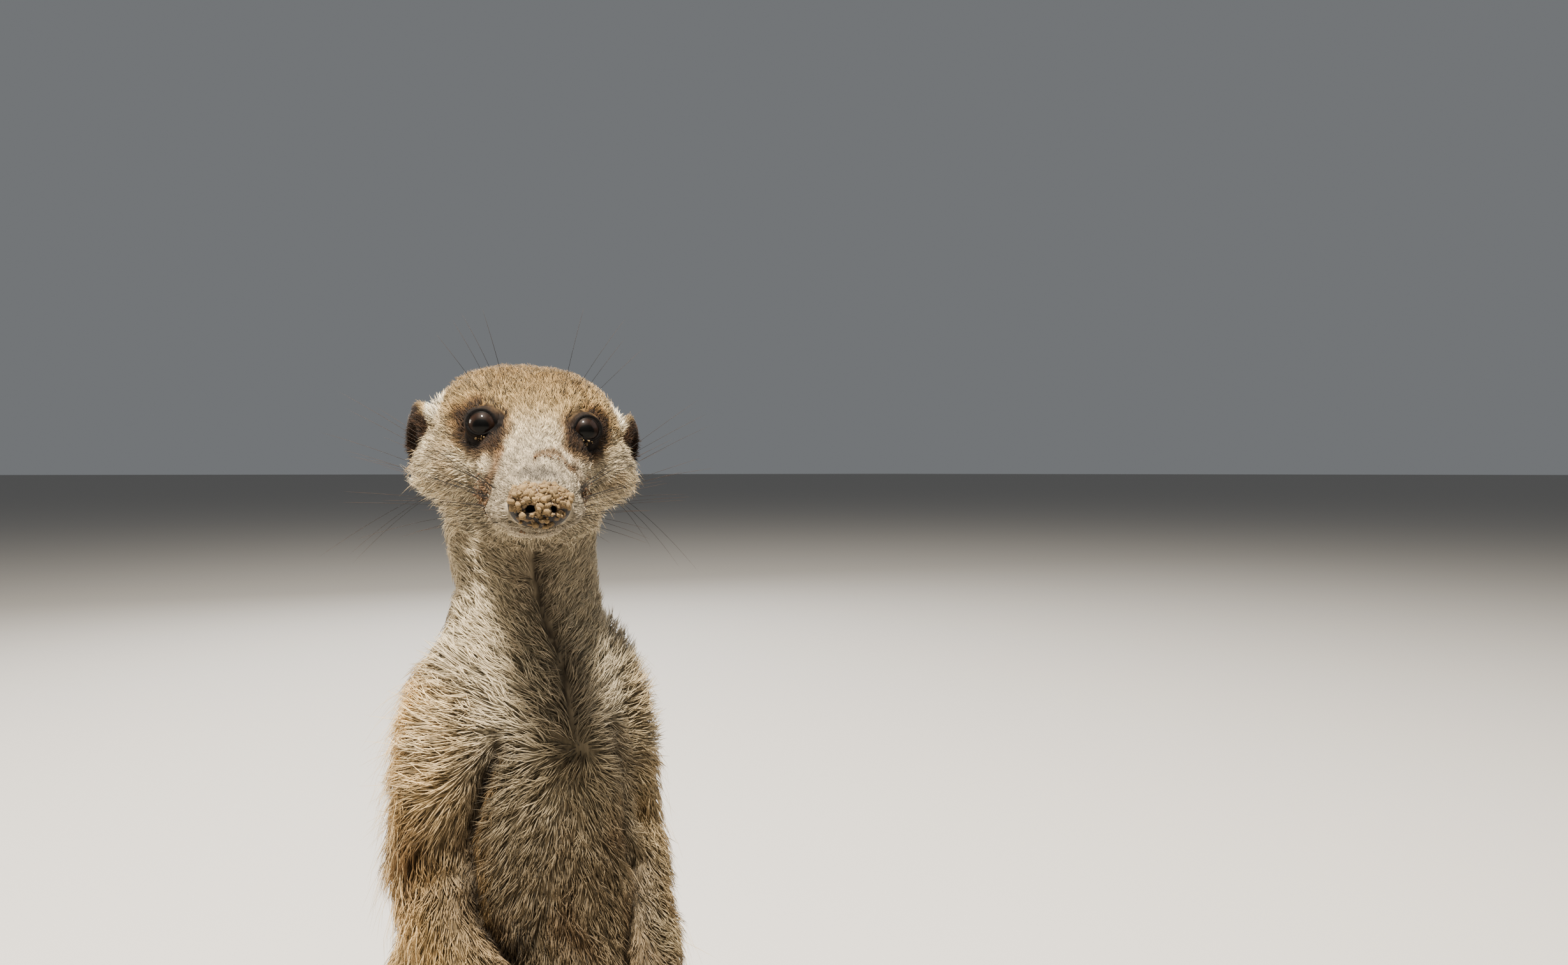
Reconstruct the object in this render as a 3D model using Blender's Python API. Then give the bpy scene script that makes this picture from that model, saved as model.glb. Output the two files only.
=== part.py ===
"""A meerkat standing upright on its hind feet and propped by its tail, life size, as a still model.

The outline is that of the coat, out to the tips of the hair. The head, the body, each forepaw and each
hind foot are unions of lofts, fused into one skin, and thin cuts then part them into the pieces that a
person would name. The chest faces -Y, the animal's right side is -X, and the hind feet and the tail
stand on Z = 0. The head is turned to the right, as a sentry looks at someone beside its path.
"""

import math

import bmesh
import bpy
import numpy as np
from mathutils import Euler, Matrix, Vector

MM = 0.001
GAP = 0.3  # between neighbouring solids
SIDES = {"right": -1, "left": 1}

# Driving dimensions, in millimetres and degrees.
HEAD_CENTRE = (-3, -2.5, 275)  # midway between the ears
HEAD_YAW = -18.4  # to the animal's right
HEAD_ROLL = 2.2  # left ear lower
HEAD_PITCH = 7  # nose down
NECK_TOP = (-3, 6, 245)
NECK_TOP_NORMAL = (0, -0.35, 1)
NECK_BASE = (0, 6, 212)
NECK_BASE_NORMAL = (0, -0.1, 1)
EYE_CENTRE = (14.4, -18.2, 6.0)  # of the left eye, in the head's frame
EYE_RADIUS = 5.4
NOSE_CENTRE = (0, -49.0, -12.6)
NOSE_RADII = (7.4, 4.8, 5.5)
MOUTH_CORNER = (0, -25.0, -19.0)
MOUTH_SLOPE = -5  # the mouth rises backwards
JAW_BLOCK = (60, 48, 24)  # a box round the lower jaw, which parts it from the head
EAR_CENTRE = (32.0, 10.5, -1.8)
EAR_RADII = (4.8, 9.0, 12.4)
EAR_HOLLOW = (3.4, -5.4, -1)  # from the ear's centre
EAR_HOLLOW_RADII = (3.2, 5.6, 7.6)
EAR_TURN = (-8, 4, -20)
LIMB_MARGIN = 1.2  # how far a limb's parting surface stands outside its loft
ELBOW_NORMAL = (0, -0.35, -1)
KNEE_NORMAL = (0, -0.1, -1)
ANKLE = (0, 0, 22)
ANKLE_NORMAL = (0, 0.15, -1)

# Lofts: rows of a point on the path, then the half width and the half depth there, in millimetres.
TRUNK = (
    (0, 9, 64, 20, 17),
    (0, 8, 73, 31, 26),
    (-0.8, 4.5, 86, 39.5, 33.5),
    (-1.2, 2, 101, 44, 36.5),
    (-1.2, 1, 116, 42.5, 35.5),
    (0, 0, 134, 35, 32),
    (0, 0.5, 152, 31, 30.5),
    (0, 2.5, 170, 30, 30),
    (0, 4, 188, 29.5, 29),
    (-1, 6, 204, 29.5, 27),
    (-0.4, 5.8, 218, 26, 23),
    (-0.5, 5, 232, 24, 21),
    (-2.5, 4.1, 245, 24.9, 21.9),
    (-3, 2, 256, 25, 22),
)
SHOULDER = (19, 5, 212, 10, 12)
ELBOW = {"right": (33.2, 5.3, 147, 11.8, 12), "left": (34.2, 5.6, 147, 13, 13.2)}
UPPER_ARM = {  # between the shoulder and the elbow
    "right": ((24.5, 3, 198, 14, 15.5), (27.8, 1.5, 180, 15.6, 16.1), (29.9, 2.1, 163, 14.1, 14.6)),
    "left": ((23.8, 3.6, 198, 13.1, 14.6), (27.5, 2.8, 180, 15.2, 15.8), (30.3, 3.5, 163, 14.7, 15.2)),
}
FOREARM = {  # from below the elbow to the wrist
    "right": ((30.5, -9.5, 133, 12, 11.2), (26.5, -25, 120, 11.2, 10), (21, -38, 109, 7.4, 6.4)),
    "left": ((33, -7, 131, 11.4, 11.5), (28.6, -21.8, 118, 9.4, 9.2), (24.2, -36.5, 107, 7.2, 6.4)),
}
PAW_TILT = {"right": (16, 6), "left": (20, 4)}  # forepaw's tips forward, and inward, from hanging
FINGER_SPREAD = 3.85  # between the tips of neighbouring digits
FINGER_REACH = 23  # from the wrist to the longest digit's tip
PALM = ((0, 0, 4, 6.8, 5.6), (0, 0, -5, 7.2, 5.0), (0, 0.4, -13, 7.2, 4.3))
THIGH = (
    (22.5, 7.5, 115, 16, 19),
    (27.5, 4, 98, 20, 23.5),
    (30, -6, 81, 18, 21),
    (32, -17, 68, 15.5, 16.5),
    (33.5, -26, 59, 12.5, 12.5),
)
SHANK = ((33.5, -26, 58, 12, 12), (32.5, -15, 44, 10, 10.5), (30.5, -1, 29, 8, 8.8), (29, 8, 16, 6.6, 7.4))
SOLE = ((29, 10, 6.8, 6, 6.8), (29, 0, 5.6, 6.8, 6.0), (29.3, -14, 4.6, 7.6, 5.2), (30, -30, 3.9, 8.8, 4.6))
TOE_ROOT = (30, -28)
TOE_SPREAD = 4.2  # between neighbouring toes
TOE_LENGTH = 16
TAIL = (
    (0, 16, 80, 15, 15),
    (0, 36, 62, 12.5, 12.5),
    (0, 55, 40, 10.4, 10.4),
    (2, 76, 20, 8.8, 8.8),
    (6, 100, 8.5, 7.8, 7.8),
    (14, 126, 6.0, 7.0, 7.0),
    (25, 150, 5.2, 6.1, 6.1),
    (37, 170, 4.4, 5.0, 5.0),
    (42, 178, 3.8, 4.0, 4.0),
)
TAIL_CUTS = ((0, 41, 54), (6, 98, 9), (24, 148, 5))  # points on the path, where the tail is parted
TAIL_CUT_NORMALS = ((0, 1, -1), (0.2, 1, -0.3), (0.45, 1, 0))

# Lofts of the head, in its own frame: the nose points along -Y.
SKULL = (
    (0, -45, -12.4, 8.2, 7.2),
    (0, -40, -12.0, 10.4, 9.2),
    (0, -33, -11.0, 12.8, 11.6),
    (0, -26, -9.4, 15.4, 14.2),
    (0, -19, -6.5, 18.8, 17.4),
    (0, -11, -3.3, 23.4, 20.9),
    (0, -3, -1.2, 27.4, 23.4),
    (0, 5, 0.2, 29.8, 24.4),
    (0, 13, 0.4, 30.0, 24.0),
    (0, 20, -0.4, 27.4, 21.6),
    (0, 26, -1.8, 21.0, 16.0),
)
THROAT = ((0, -6, -20, 15, 9), (0, 3, -24, 21, 16), (0, 6, -34, 22.5, 19), (0, 3, -45, 21, 16.5))
CHIN = ((0, -39, -19.8, 5.4, 3.6), (0, -34, -19.8, 7.5, 4.6), (0, -24, -20.4, 11, 6), (0, -10, -20.4, 15, 8))
# Full forms on either side of the head, as (centre, radii).
HEAD_FORMS = {
    "cheek": ((17.8, 1.5, -8.2), (17.6, 21.5, 13.4)),
    "whisker_pad": ((6.4, -37.5, -15.4), (7.4, 9.0, 5.6)),
    "brow": ((10.0, -9.0, 10.0), (8.5, 9.0, 7.6)),
    "orbit": ((13.4, -11.6, 5.2), (7.8, 8.2, 8.0)),
}
SKULL_SQUARENESS = 0.84  # 1 is an ellipse


# Shapes -------------------------------------------------------------------------------------------


def catmull_rom(rows, count):
    """Rows of numbers read at `count` even steps along a smooth curve through them."""
    keys = np.array(rows, float)
    padded = np.vstack([2 * keys[0] - keys[1], keys, 2 * keys[-1] - keys[-2]])
    place = np.linspace(0, len(keys) - 1, count)
    first = np.minimum(place.astype(int), len(keys) - 2)
    t = (place - first)[:, None]
    a, b, c, d = (padded[first + k] for k in range(4))
    return (2 * b + (c - a) * t + (2 * a - 5 * b + 4 * c - d) * t**2 + (3 * b - a - 3 * c + d) * t**3) / 2


def domed(stations, tangents, angles, bulge):
    """The stations and tangents with smaller rings added at both ends, which close each as a dome.

    A dome stands out by `bulge` times the end's smaller half width.
    """
    ends = []
    for index, outward in ((0, -1), (-1, 1)):
        radius = bulge * min(stations[index, 3:])
        rings = []
        for angle in angles:
            ring = stations[index].copy()
            ring[:3] += outward * tangents[index] * radius * math.sin(math.radians(angle))
            ring[3:] *= math.cos(math.radians(angle))
            rings.append(ring)
        ends.append(rings)
    before, after = ends[0][::-1], ends[1]
    ways = [tangents[0]] * len(before) + list(tangents) + [tangents[-1]] * len(after)
    return np.vstack([before, stations, after]), ways


def squared(wave, square):
    """A cosine or sine drawn towards 1 and -1, which makes a round section squarer below a square of 1."""
    return math.copysign(abs(wave) ** square, wave)


def loft(bm, rows, rings=24, sides=24, grow=0.0, square=1.0, dome=(30, 55, 75), bulge=1.0, place=Matrix()):
    """A closed tube of rings along a path, whose half widths point along X and whose ends are domes.

    A ring's point at the turn t is half_width cos(t)^square across and half_depth sin(t)^square through.
    """
    stations = catmull_rom(rows, rings)
    stations[:, 3:] += grow
    tangents = np.gradient(stations[:, :3], axis=0)
    tangents /= np.linalg.norm(tangents, axis=1)[:, None]
    loops = []
    for (x, y, z, half_width, half_depth), tangent in zip(*domed(stations, tangents, dome, bulge)):
        along = Vector(tangent)
        across = (Vector((1, 0, 0)) - along * along.x).normalized() * half_width
        through = along.cross(across.normalized()) * half_depth
        turns = [2 * math.pi * k / sides for k in range(sides)]
        centre = Vector((x, y, z))
        shares = [(squared(math.cos(turn), square), squared(math.sin(turn), square)) for turn in turns]
        ring = [centre + across * c + through * s for c, s in shares]
        loops.append([bm.verts.new(place @ (point * MM)) for point in ring])
    faces = [bm.faces.new(loops[0][::-1]), bm.faces.new(loops[-1])]
    for lower, upper in zip(loops, loops[1:]):
        for k in range(sides):
            after = (k + 1) % sides
            faces.append(bm.faces.new((lower[k], lower[after], upper[after], upper[k])))
    bmesh.ops.recalc_face_normals(bm, faces=faces)


def ellipsoid(bm, centre, radii, turn=(0, 0, 0), place=Matrix(), grow=0.0, segments=20):
    """A closed ellipsoid with the given centre and radii in millimetres, turned in degrees."""
    scale = Matrix.Diagonal([(radius + grow) * MM for radius in radii] + [1])
    rotation = Euler([math.radians(angle) for angle in turn]).to_matrix().to_4x4()
    matrix = place @ Matrix.Translation(Vector(centre) * MM) @ rotation @ scale
    bmesh.ops.create_uvsphere(bm, u_segments=segments, v_segments=segments // 2, radius=1, matrix=matrix)


def on_side(rows, side):
    """Points or rows of the left side as they are, or mirrored for the right one."""
    return [(row[0] * side, *row[1:]) for row in rows]


def mesh_of(build, *arguments, **settings):
    """The mesh that `build` makes in an empty bmesh."""
    bm = bmesh.new()
    build(bm, *arguments, **settings)
    mesh = bpy.data.meshes.new("form")
    bm.to_mesh(mesh)
    bm.free()
    return mesh


# Joining and parting ------------------------------------------------------------------------------


def evaluated(mesh, *modifiers):
    """The mesh with modifiers applied, each given as (type, settings)."""
    obj = bpy.data.objects.new("worked", mesh)
    bpy.context.scene.collection.objects.link(obj)
    for kind, settings in modifiers:
        modifier = obj.modifiers.new(kind, kind)
        for name, value in settings.items():
            setattr(modifier, name, value)
    graph = bpy.context.evaluated_depsgraph_get()
    result = bpy.data.meshes.new_from_object(obj.evaluated_get(graph))
    bpy.data.objects.remove(obj)
    return result


def fused(shells, voxel, passes, triangles):
    """One closed skin over overlapping shells, softened where they join, with about that many triangles."""
    soft = evaluated(
        shells,
        ("REMESH", {"mode": "VOXEL", "voxel_size": voxel * MM}),
        ("SMOOTH", {"factor": 0.5, "iterations": passes}),
        ("TRIANGULATE", {}),
    )
    return evaluated(soft, ("DECIMATE", {"ratio": triangles / len(soft.polygons)}))


def largest_body(mesh):
    """The mesh without the crumbs that a cut leaves beside its main body."""
    bm = bmesh.new()
    bm.from_mesh(mesh)
    left, bodies = set(bm.verts), []
    while left:
        found, rim = set(), [left.pop()]
        while rim:
            vert = rim.pop()
            found.add(vert)
            near = {edge.other_vert(vert) for edge in vert.link_edges} & left
            left -= near
            rim.extend(near)
        bodies.append(found)
    bodies.sort(key=len)
    bmesh.ops.delete(bm, geom=[vert for body in bodies[:-1] for vert in body], context="VERTS")
    bm.to_mesh(mesh)
    bm.free()
    return mesh


def boolean(mesh, tool, operation):
    """The main body of mesh DIFFERENCE or INTERSECT tool."""
    cutter = bpy.data.objects.new("cutter", tool)
    bpy.context.scene.collection.objects.link(cutter)
    cut = evaluated(
        mesh,
        ("BOOLEAN", {"object": cutter, "operation": operation}),
        ("DECIMATE", {"decimate_type": "DISSOLVE", "angle_limit": math.radians(3)}),
        ("TRIANGULATE", {}),
    )
    bpy.data.objects.remove(cutter)
    return largest_body(cut)


def kept_side(mesh, point, normal):
    """The closed part of mesh on the side of the plane that the normal points to."""
    bm = bmesh.new()
    bm.from_mesh(mesh)
    geometry = bm.verts[:] + bm.edges[:] + bm.faces[:]
    bmesh.ops.bisect_plane(bm, geom=geometry, dist=1e-7, plane_co=point, plane_no=normal, clear_inner=True)
    rim = [edge for edge in bm.edges if edge.is_boundary]
    caps = bmesh.ops.edgeloop_fill(bm, edges=rim)["faces"]
    bmesh.ops.triangulate(bm, faces=caps)
    bmesh.ops.recalc_face_normals(bm, faces=bm.faces[:])
    result = bpy.data.meshes.new("side")
    bm.to_mesh(result)
    bm.free()
    return largest_body(result)


def halves(mesh, point, normal):
    """The parts of mesh behind and in front of a plane through a point, with the gap between them."""
    point, normal = Vector(point) * MM, Vector(normal).normalized()
    half_gap = normal * GAP / 2 * MM
    return kept_side(mesh, point - half_gap, -normal), kept_side(mesh, point + half_gap, normal)


def grown(mesh, distance):
    """The mesh swollen by a distance in millimetres."""
    return evaluated(mesh, ("DISPLACE", {"strength": distance * MM, "mid_level": 0}))


def on_floor(mesh):
    """The mesh with a flat where it would reach below the floor."""
    return kept_side(mesh, (0, 0, 0), (0, 0, 1))


def material(name, colour, roughness):
    """A Principled material of one colour."""
    made = bpy.data.materials.get(name) or bpy.data.materials.new(name)
    made.use_nodes = True
    shader = made.node_tree.nodes["Principled BSDF"]
    shader.inputs["Base Color"].default_value = (*colour, 1)
    shader.inputs["Roughness"].default_value = roughness
    made.diffuse_color = (*colour, 1)
    return made


def node(name, mesh, finish):
    """A named solid of the model."""
    mesh.name = name
    mesh.materials.clear()
    mesh.materials.append(finish)
    mesh.shade_smooth()
    mesh.set_sharp_from_angle(angle=math.radians(50))
    bpy.context.scene.collection.objects.link(bpy.data.objects.new(name, mesh))


def fur():
    return material("fur", (0.42, 0.31, 0.2), 0.85)


def dark_fur():
    return material("dark_fur", (0.06, 0.045, 0.035), 0.8)


def horn():
    return material("claw_horn", (0.07, 0.055, 0.045), 0.35)


# Head ---------------------------------------------------------------------------------------------


def head_frame():
    """The matrix from the head's own frame to the model's."""
    nod = Euler((math.radians(HEAD_PITCH), math.radians(HEAD_ROLL), 0)).to_matrix().to_4x4()
    turn = Matrix.Rotation(math.radians(HEAD_YAW), 4, "Z")
    return Matrix.Translation(Vector(HEAD_CENTRE) * MM) @ turn @ nod


def head_form(bm):
    """The skull's loft, the throat down to the neck, the chin, and the full forms of the face."""
    frame = head_frame()
    loft(bm, SKULL, rings=40, sides=36, square=SKULL_SQUARENESS, bulge=0.45, place=frame)
    loft(bm, THROAT, rings=16, sides=28, place=frame)
    loft(bm, CHIN, rings=14, sides=20, place=frame)
    loft(bm, TRUNK[-4:], rings=14, sides=36)
    for side in SIDES.values():
        for centre, radii in HEAD_FORMS.values():
            ellipsoid(bm, *on_side([centre], side), radii, place=frame)


def eye_ball(bm, side, grow=0.0):
    ellipsoid(bm, *on_side([EYE_CENTRE], side), [EYE_RADIUS] * 3, place=head_frame(), grow=grow, segments=12)


def ear_shell(bm, side, grow=0.0):
    """The ear's flat rounded shell, close against the head."""
    turn = (EAR_TURN[0], EAR_TURN[1] * side, EAR_TURN[2] * side)
    ellipsoid(bm, *on_side([EAR_CENTRE], side), EAR_RADII, turn, head_frame(), grow, segments=14)


def ear_hollow(bm, side):
    """The cup of the ear, open forwards and outwards."""
    centre = [EAR_CENTRE[axis] + EAR_HOLLOW[axis] for axis in range(3)]
    ellipsoid(bm, *on_side([centre], side), EAR_HOLLOW_RADII, place=head_frame(), segments=8)


def nose_pad(bm, grow=0.0):
    ellipsoid(bm, NOSE_CENTRE, NOSE_RADII, place=head_frame(), grow=grow, segments=14)


def nostril(bm, side):
    x, y, z = NOSE_CENTRE
    ellipsoid(bm, (2.6 * side, y - 4.4, z), (1.3, 2.6, 1.1), place=head_frame(), segments=8)


def jaw_block(bm, grow):
    """A box about the lower jaw, whose top is the mouth and whose back is the angle of the jaw."""
    x, y, z = MOUTH_CORNER
    middle = Vector((x, y - JAW_BLOCK[1] / 2 + grow, z - JAW_BLOCK[2] / 2 + grow)) * MM
    tilt = Matrix.Rotation(math.radians(MOUTH_SLOPE), 4, "X")
    size = Matrix.Diagonal([side * MM for side in JAW_BLOCK] + [1])
    bmesh.ops.create_cube(bm, size=1, matrix=head_frame() @ Matrix.Translation(middle) @ tilt @ size)


def build_head():
    """The head, its lower jaw, ears, eyes and nose."""
    whole = fused(mesh_of(head_form), voxel=1.1, passes=14, triangles=1250)
    _, head = halves(whole, NECK_TOP, NECK_TOP_NORMAL)
    for name, side in SIDES.items():
        head = boolean(head, mesh_of(ear_shell, side, grow=GAP), "DIFFERENCE")
        head = boolean(head, mesh_of(eye_ball, side, grow=GAP), "DIFFERENCE")
        node(f"eye_{name}", mesh_of(eye_ball, side), material("eye", (0.03, 0.018, 0.012), 0.08))
        ear = boolean(mesh_of(ear_shell, side), mesh_of(ear_hollow, side), "DIFFERENCE")
        node(f"ear_{name}", ear, dark_fur())
    head = boolean(head, mesh_of(nose_pad, grow=GAP), "DIFFERENCE")
    pad = mesh_of(nose_pad)
    for side in SIDES.values():
        pad = boolean(pad, mesh_of(nostril, side), "DIFFERENCE")
    node("nose", pad, material("nose_leather", (0.05, 0.045, 0.045), 0.5))
    node("lower_jaw", boolean(head, mesh_of(jaw_block, 0), "INTERSECT"), fur())
    node("head", boolean(head, mesh_of(jaw_block, GAP), "DIFFERENCE"), fur())


# Limbs --------------------------------------------------------------------------------------------


def arm_form(bm, name, side, grow=0.0):
    loft(bm, on_side((SHOULDER, *UPPER_ARM[name], ELBOW[name]), side), rings=14, sides=20, grow=grow)
    loft(bm, on_side((ELBOW[name], *FOREARM[name]), side), rings=14, sides=20, grow=grow)


def leg_form(bm, name, side, grow=0.0):
    loft(bm, on_side(THIGH, side), rings=14, sides=24, grow=grow)
    loft(bm, on_side(SHANK, side), rings=14, sides=20, grow=grow)


def paw_frame(name, side):
    """The matrix of a forepaw, which hangs from the wrist along -Z with its back to the front."""
    x, y, z = on_side(FOREARM[name], side)[-1][:3]
    forward, inward = (math.radians(angle) for angle in PAW_TILT[name])
    turn = Matrix.Rotation(inward * side, 4, "Y") @ Matrix.Rotation(-forward, 4, "X")
    return Matrix.Translation(Vector((x, y, z)) * MM) @ turn


def digit_places():
    """For each of four digits: its place across the foot, from -1.5 to 1.5, and its share of full length."""
    return [(place, 1 - 0.06 * place * place) for place in (-1.5, -0.5, 0.5, 1.5)]


def forepaw_form(bm, name, side):
    """Palm and four digits, with the end of the forearm above them."""
    frame = paw_frame(name, side)
    loft(bm, on_side(FOREARM[name], side), rings=14, sides=20)
    loft(bm, PALM, rings=10, sides=18, place=frame)
    for place, share in digit_places():
        x, tip = FINGER_SPREAD * place, -FINGER_REACH * share
        rows = ((x * 0.92, 0, -12, 2.3, 2.8), (x * 0.97, -0.8, tip + 6, 2.1, 2.5), (x, 0, tip, 1.8, 2.0))
        loft(bm, rows, rings=7, sides=10, place=frame)


def foreclaw(bm, name, side, place, share, grow=0.0):
    """A long digging claw, which leaves the digit's tip and curves back towards the palm."""
    x, tip = FINGER_SPREAD * place, -FINGER_REACH * share
    rows = (
        (x, -0.5, tip + 1, 1.2, 1.5),
        (x, -1.4, tip - 4, 1.0, 1.25),
        (x, -0.6, tip - 9, 0.8, 0.9),
        (x, 1.8, tip - 13, 0.4, 0.4),
    )
    loft(bm, rows, rings=4, sides=5, dome=(50,), grow=grow, place=paw_frame(name, side))


def hind_foot_form(bm, side):
    """Sole and four toes, with the end of the shank above them."""
    loft(bm, on_side(SHANK, side), rings=14, sides=20)
    loft(bm, on_side(SOLE, side), rings=14, sides=20)
    for place, share in digit_places():
        x, tip = TOE_ROOT[0] + TOE_SPREAD * place, TOE_ROOT[1] - TOE_LENGTH * share
        rows = ((x, TOE_ROOT[1], 3.4, 2.6, 3.2), (x, tip + 6, 3.3, 2.4, 3.4), (x, tip, 2.2, 2.2, 2.5))
        loft(bm, on_side(rows, side), rings=7, sides=10)


def hind_claw(bm, side, place, share, grow=0.0):
    """A shorter claw, which rests clear of the floor."""
    x, tip = TOE_ROOT[0] + TOE_SPREAD * place, TOE_ROOT[1] - TOE_LENGTH * share
    rows = ((x, tip, 2.9, 1.1, 1.2), (x, tip - 4, 2.8, 0.9, 1.0), (x, tip - 8.5, 1.4, 0.4, 0.4))
    loft(bm, on_side(rows, side), rings=3, sides=5, dome=(50,), grow=grow)


def build_arm(name, side, arm):
    """Upper arm, forearm, forepaw and its claws."""
    elbow = on_side([ELBOW[name]], side)[0][:3]
    upper_arm, forearm = halves(arm, elbow, ELBOW_NORMAL)
    node(f"upper_arm_{name}", upper_arm, fur())
    wrist = on_side(FOREARM[name], side)[-1]
    before = on_side(FOREARM[name], side)[-2]
    reach = Vector(wrist[:3]) - Vector(before[:3])
    forearm, _ = halves(forearm, wrist[:3], reach)
    node(f"forearm_{name}", forearm, fur())
    _, paw = halves(fused(mesh_of(forepaw_form, name, side), 0.7, 3, 270), wrist[:3], reach)
    for number, (place, share) in enumerate(digit_places(), 1):
        paw = boolean(paw, mesh_of(foreclaw, name, side, place, share, grow=GAP), "DIFFERENCE")
        claw = mesh_of(foreclaw, name, side, place, share)
        node(f"foreclaw_{name}_{number}", claw, horn())
    node(f"forepaw_{name}", paw, fur())


def build_leg(name, side, leg):
    """Thigh, shank, hind foot and its claws."""
    knee = on_side(SHANK, side)[0][:3]
    thigh, shank = halves(leg, knee, KNEE_NORMAL)
    node(f"thigh_{name}", thigh, fur())
    shank, _ = halves(shank, ANKLE, ANKLE_NORMAL)
    node(f"shank_{name}", shank, fur())
    _, foot = halves(fused(mesh_of(hind_foot_form, side), 0.8, 3, 240), ANKLE, ANKLE_NORMAL)
    foot = on_floor(foot)
    for number, (place, share) in enumerate(digit_places(), 1):
        foot = boolean(foot, mesh_of(hind_claw, side, place, share, grow=GAP), "DIFFERENCE")
        node(f"hind_claw_{name}_{number}", mesh_of(hind_claw, side, place, share), horn())
    node(f"hind_foot_{name}", foot, fur())


# Body ---------------------------------------------------------------------------------------------


def body_form(bm):
    """Trunk and neck, both arms, both legs, and the tail."""
    loft(bm, TRUNK, rings=40, sides=40, bulge=0.7)
    loft(bm, THROAT, rings=16, sides=28, place=head_frame())
    loft(bm, TAIL, rings=40, sides=20)
    for name, side in SIDES.items():
        arm_form(bm, name, side)
        leg_form(bm, name, side)


def build_body():
    """Neck, trunk and tail, and both pairs of limbs parted from the trunk."""
    body = fused(mesh_of(body_form), voxel=1.7, passes=10, triangles=1600)
    body, _ = halves(body, NECK_TOP, NECK_TOP_NORMAL)
    body, neck = halves(body, NECK_BASE, NECK_BASE_NORMAL)
    node("neck", neck, fur())
    for name, side in SIDES.items():
        for form, build in ((arm_form, build_arm), (leg_form, build_leg)):
            parting = fused(mesh_of(form, name, side, LIMB_MARGIN), 1.5, 2, 110)
            build(name, side, boolean(body, parting, "INTERSECT"))
            body = boolean(body, grown(parting, GAP), "DIFFERENCE")
    trunk, tail = halves(body, TAIL_CUTS[0], TAIL_CUT_NORMALS[0])
    node("trunk", trunk, fur())
    tail = on_floor(tail)
    root, tail = halves(tail, TAIL_CUTS[1], TAIL_CUT_NORMALS[1])
    middle, tip = halves(tail, TAIL_CUTS[2], TAIL_CUT_NORMALS[2])
    node("tail_root", root, fur())
    node("tail_middle", middle, fur())
    node("tail_tip", tip, dark_fur())


def stand_on_origin():
    """Moves every node so that the origin is at the middle of the whole model's base."""
    meshes = [obj.data for obj in bpy.context.scene.objects]
    corners = [vert.co for mesh in meshes for vert in mesh.vertices]
    middle = [(min(co[axis] for co in corners) + max(co[axis] for co in corners)) / 2 for axis in range(2)]
    for mesh in meshes:
        mesh.transform(Matrix.Translation((-middle[0], -middle[1], 0)))


def main():
    """Clears the scene and makes every node."""
    for obj in list(bpy.data.objects):
        bpy.data.objects.remove(obj)
    build_head()
    build_body()
    stand_on_origin()


main()
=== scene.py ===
"""A meerkat standing upright on its hind feet, propped by its tail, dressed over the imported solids.

Lengths are in metres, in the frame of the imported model. The face is set out in the head's own frame, in
millimetres: the nose points along -Y and the animal's left is +X.
"""

import bmesh
import bpy
import numpy as np
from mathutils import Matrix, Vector


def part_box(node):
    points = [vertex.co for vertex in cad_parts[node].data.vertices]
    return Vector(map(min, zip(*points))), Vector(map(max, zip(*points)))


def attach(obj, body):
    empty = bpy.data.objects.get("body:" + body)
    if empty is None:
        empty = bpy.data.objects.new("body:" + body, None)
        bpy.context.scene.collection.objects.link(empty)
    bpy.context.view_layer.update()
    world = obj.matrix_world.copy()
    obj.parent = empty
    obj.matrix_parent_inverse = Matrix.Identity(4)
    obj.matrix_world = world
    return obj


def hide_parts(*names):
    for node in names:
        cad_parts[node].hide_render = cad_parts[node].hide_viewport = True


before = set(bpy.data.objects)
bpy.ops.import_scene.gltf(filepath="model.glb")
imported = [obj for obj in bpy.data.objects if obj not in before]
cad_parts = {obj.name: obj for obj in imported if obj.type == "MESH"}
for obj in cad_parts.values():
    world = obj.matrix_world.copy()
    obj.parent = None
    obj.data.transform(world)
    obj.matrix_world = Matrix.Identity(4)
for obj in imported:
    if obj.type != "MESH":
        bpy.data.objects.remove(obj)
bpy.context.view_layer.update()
scene = bpy.context.scene

# Camera -------------------------------------------------------------------------------------------
# It stands close in front of the animal, level with its neck and a little to its right, with a wide
# lens, and looks past its left shoulder, so that the animal stands left of the middle of the view.

camera_data = bpy.data.cameras.new("camera")
camera_data.lens = 20.5
camera_data.sensor_width = 36
camera_data.clip_start = 0.01
camera = bpy.data.objects.new("camera", camera_data)
camera.location = (-0.1162, -0.3405, 0.2655)
camera.rotation_euler = np.radians((89.35, 0, -38.36))
scene.collection.objects.link(camera)
scene.camera = camera

# Skin ---------------------------------------------------------------------------------------------
# The hide under the coat, one unbroken surface from the nose to the tip of the tail. The flesh solids
# are swollen until they meet, fused, smoothed, drawn in by the coat's depth and forward round the nose
# pad. Eyelids and mouth are formed in it, and it is coloured as the coat is, for where hair is thin.

MM = 0.001
SIDES = {"right": -1, "left": 1}
LIMB_PARTS = ("upper_arm", "forearm", "forepaw", "thigh", "shank", "hind_foot", "ear")
FLESH = ["head", "lower_jaw", "neck", "trunk", "tail_root", "tail_middle", "tail_tip"]
FLESH += [f"{part}_{side}" for part in LIMB_PARTS for side in SIDES]
SWELL = 0.35 * MM  # more than half the gap between neighbouring solids
SKIN_GRAIN = 0.75 * MM
SKIN_FACES = 150000


def middle_of(node):
    """The middle of a node's box."""
    low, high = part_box(node)
    return np.array((low + high) / 2)


def unit(vectors):
    """Vectors along the last axis, each divided by its length."""
    return vectors / np.maximum(np.linalg.norm(vectors, axis=-1, keepdims=True), 1e-12)


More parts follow.
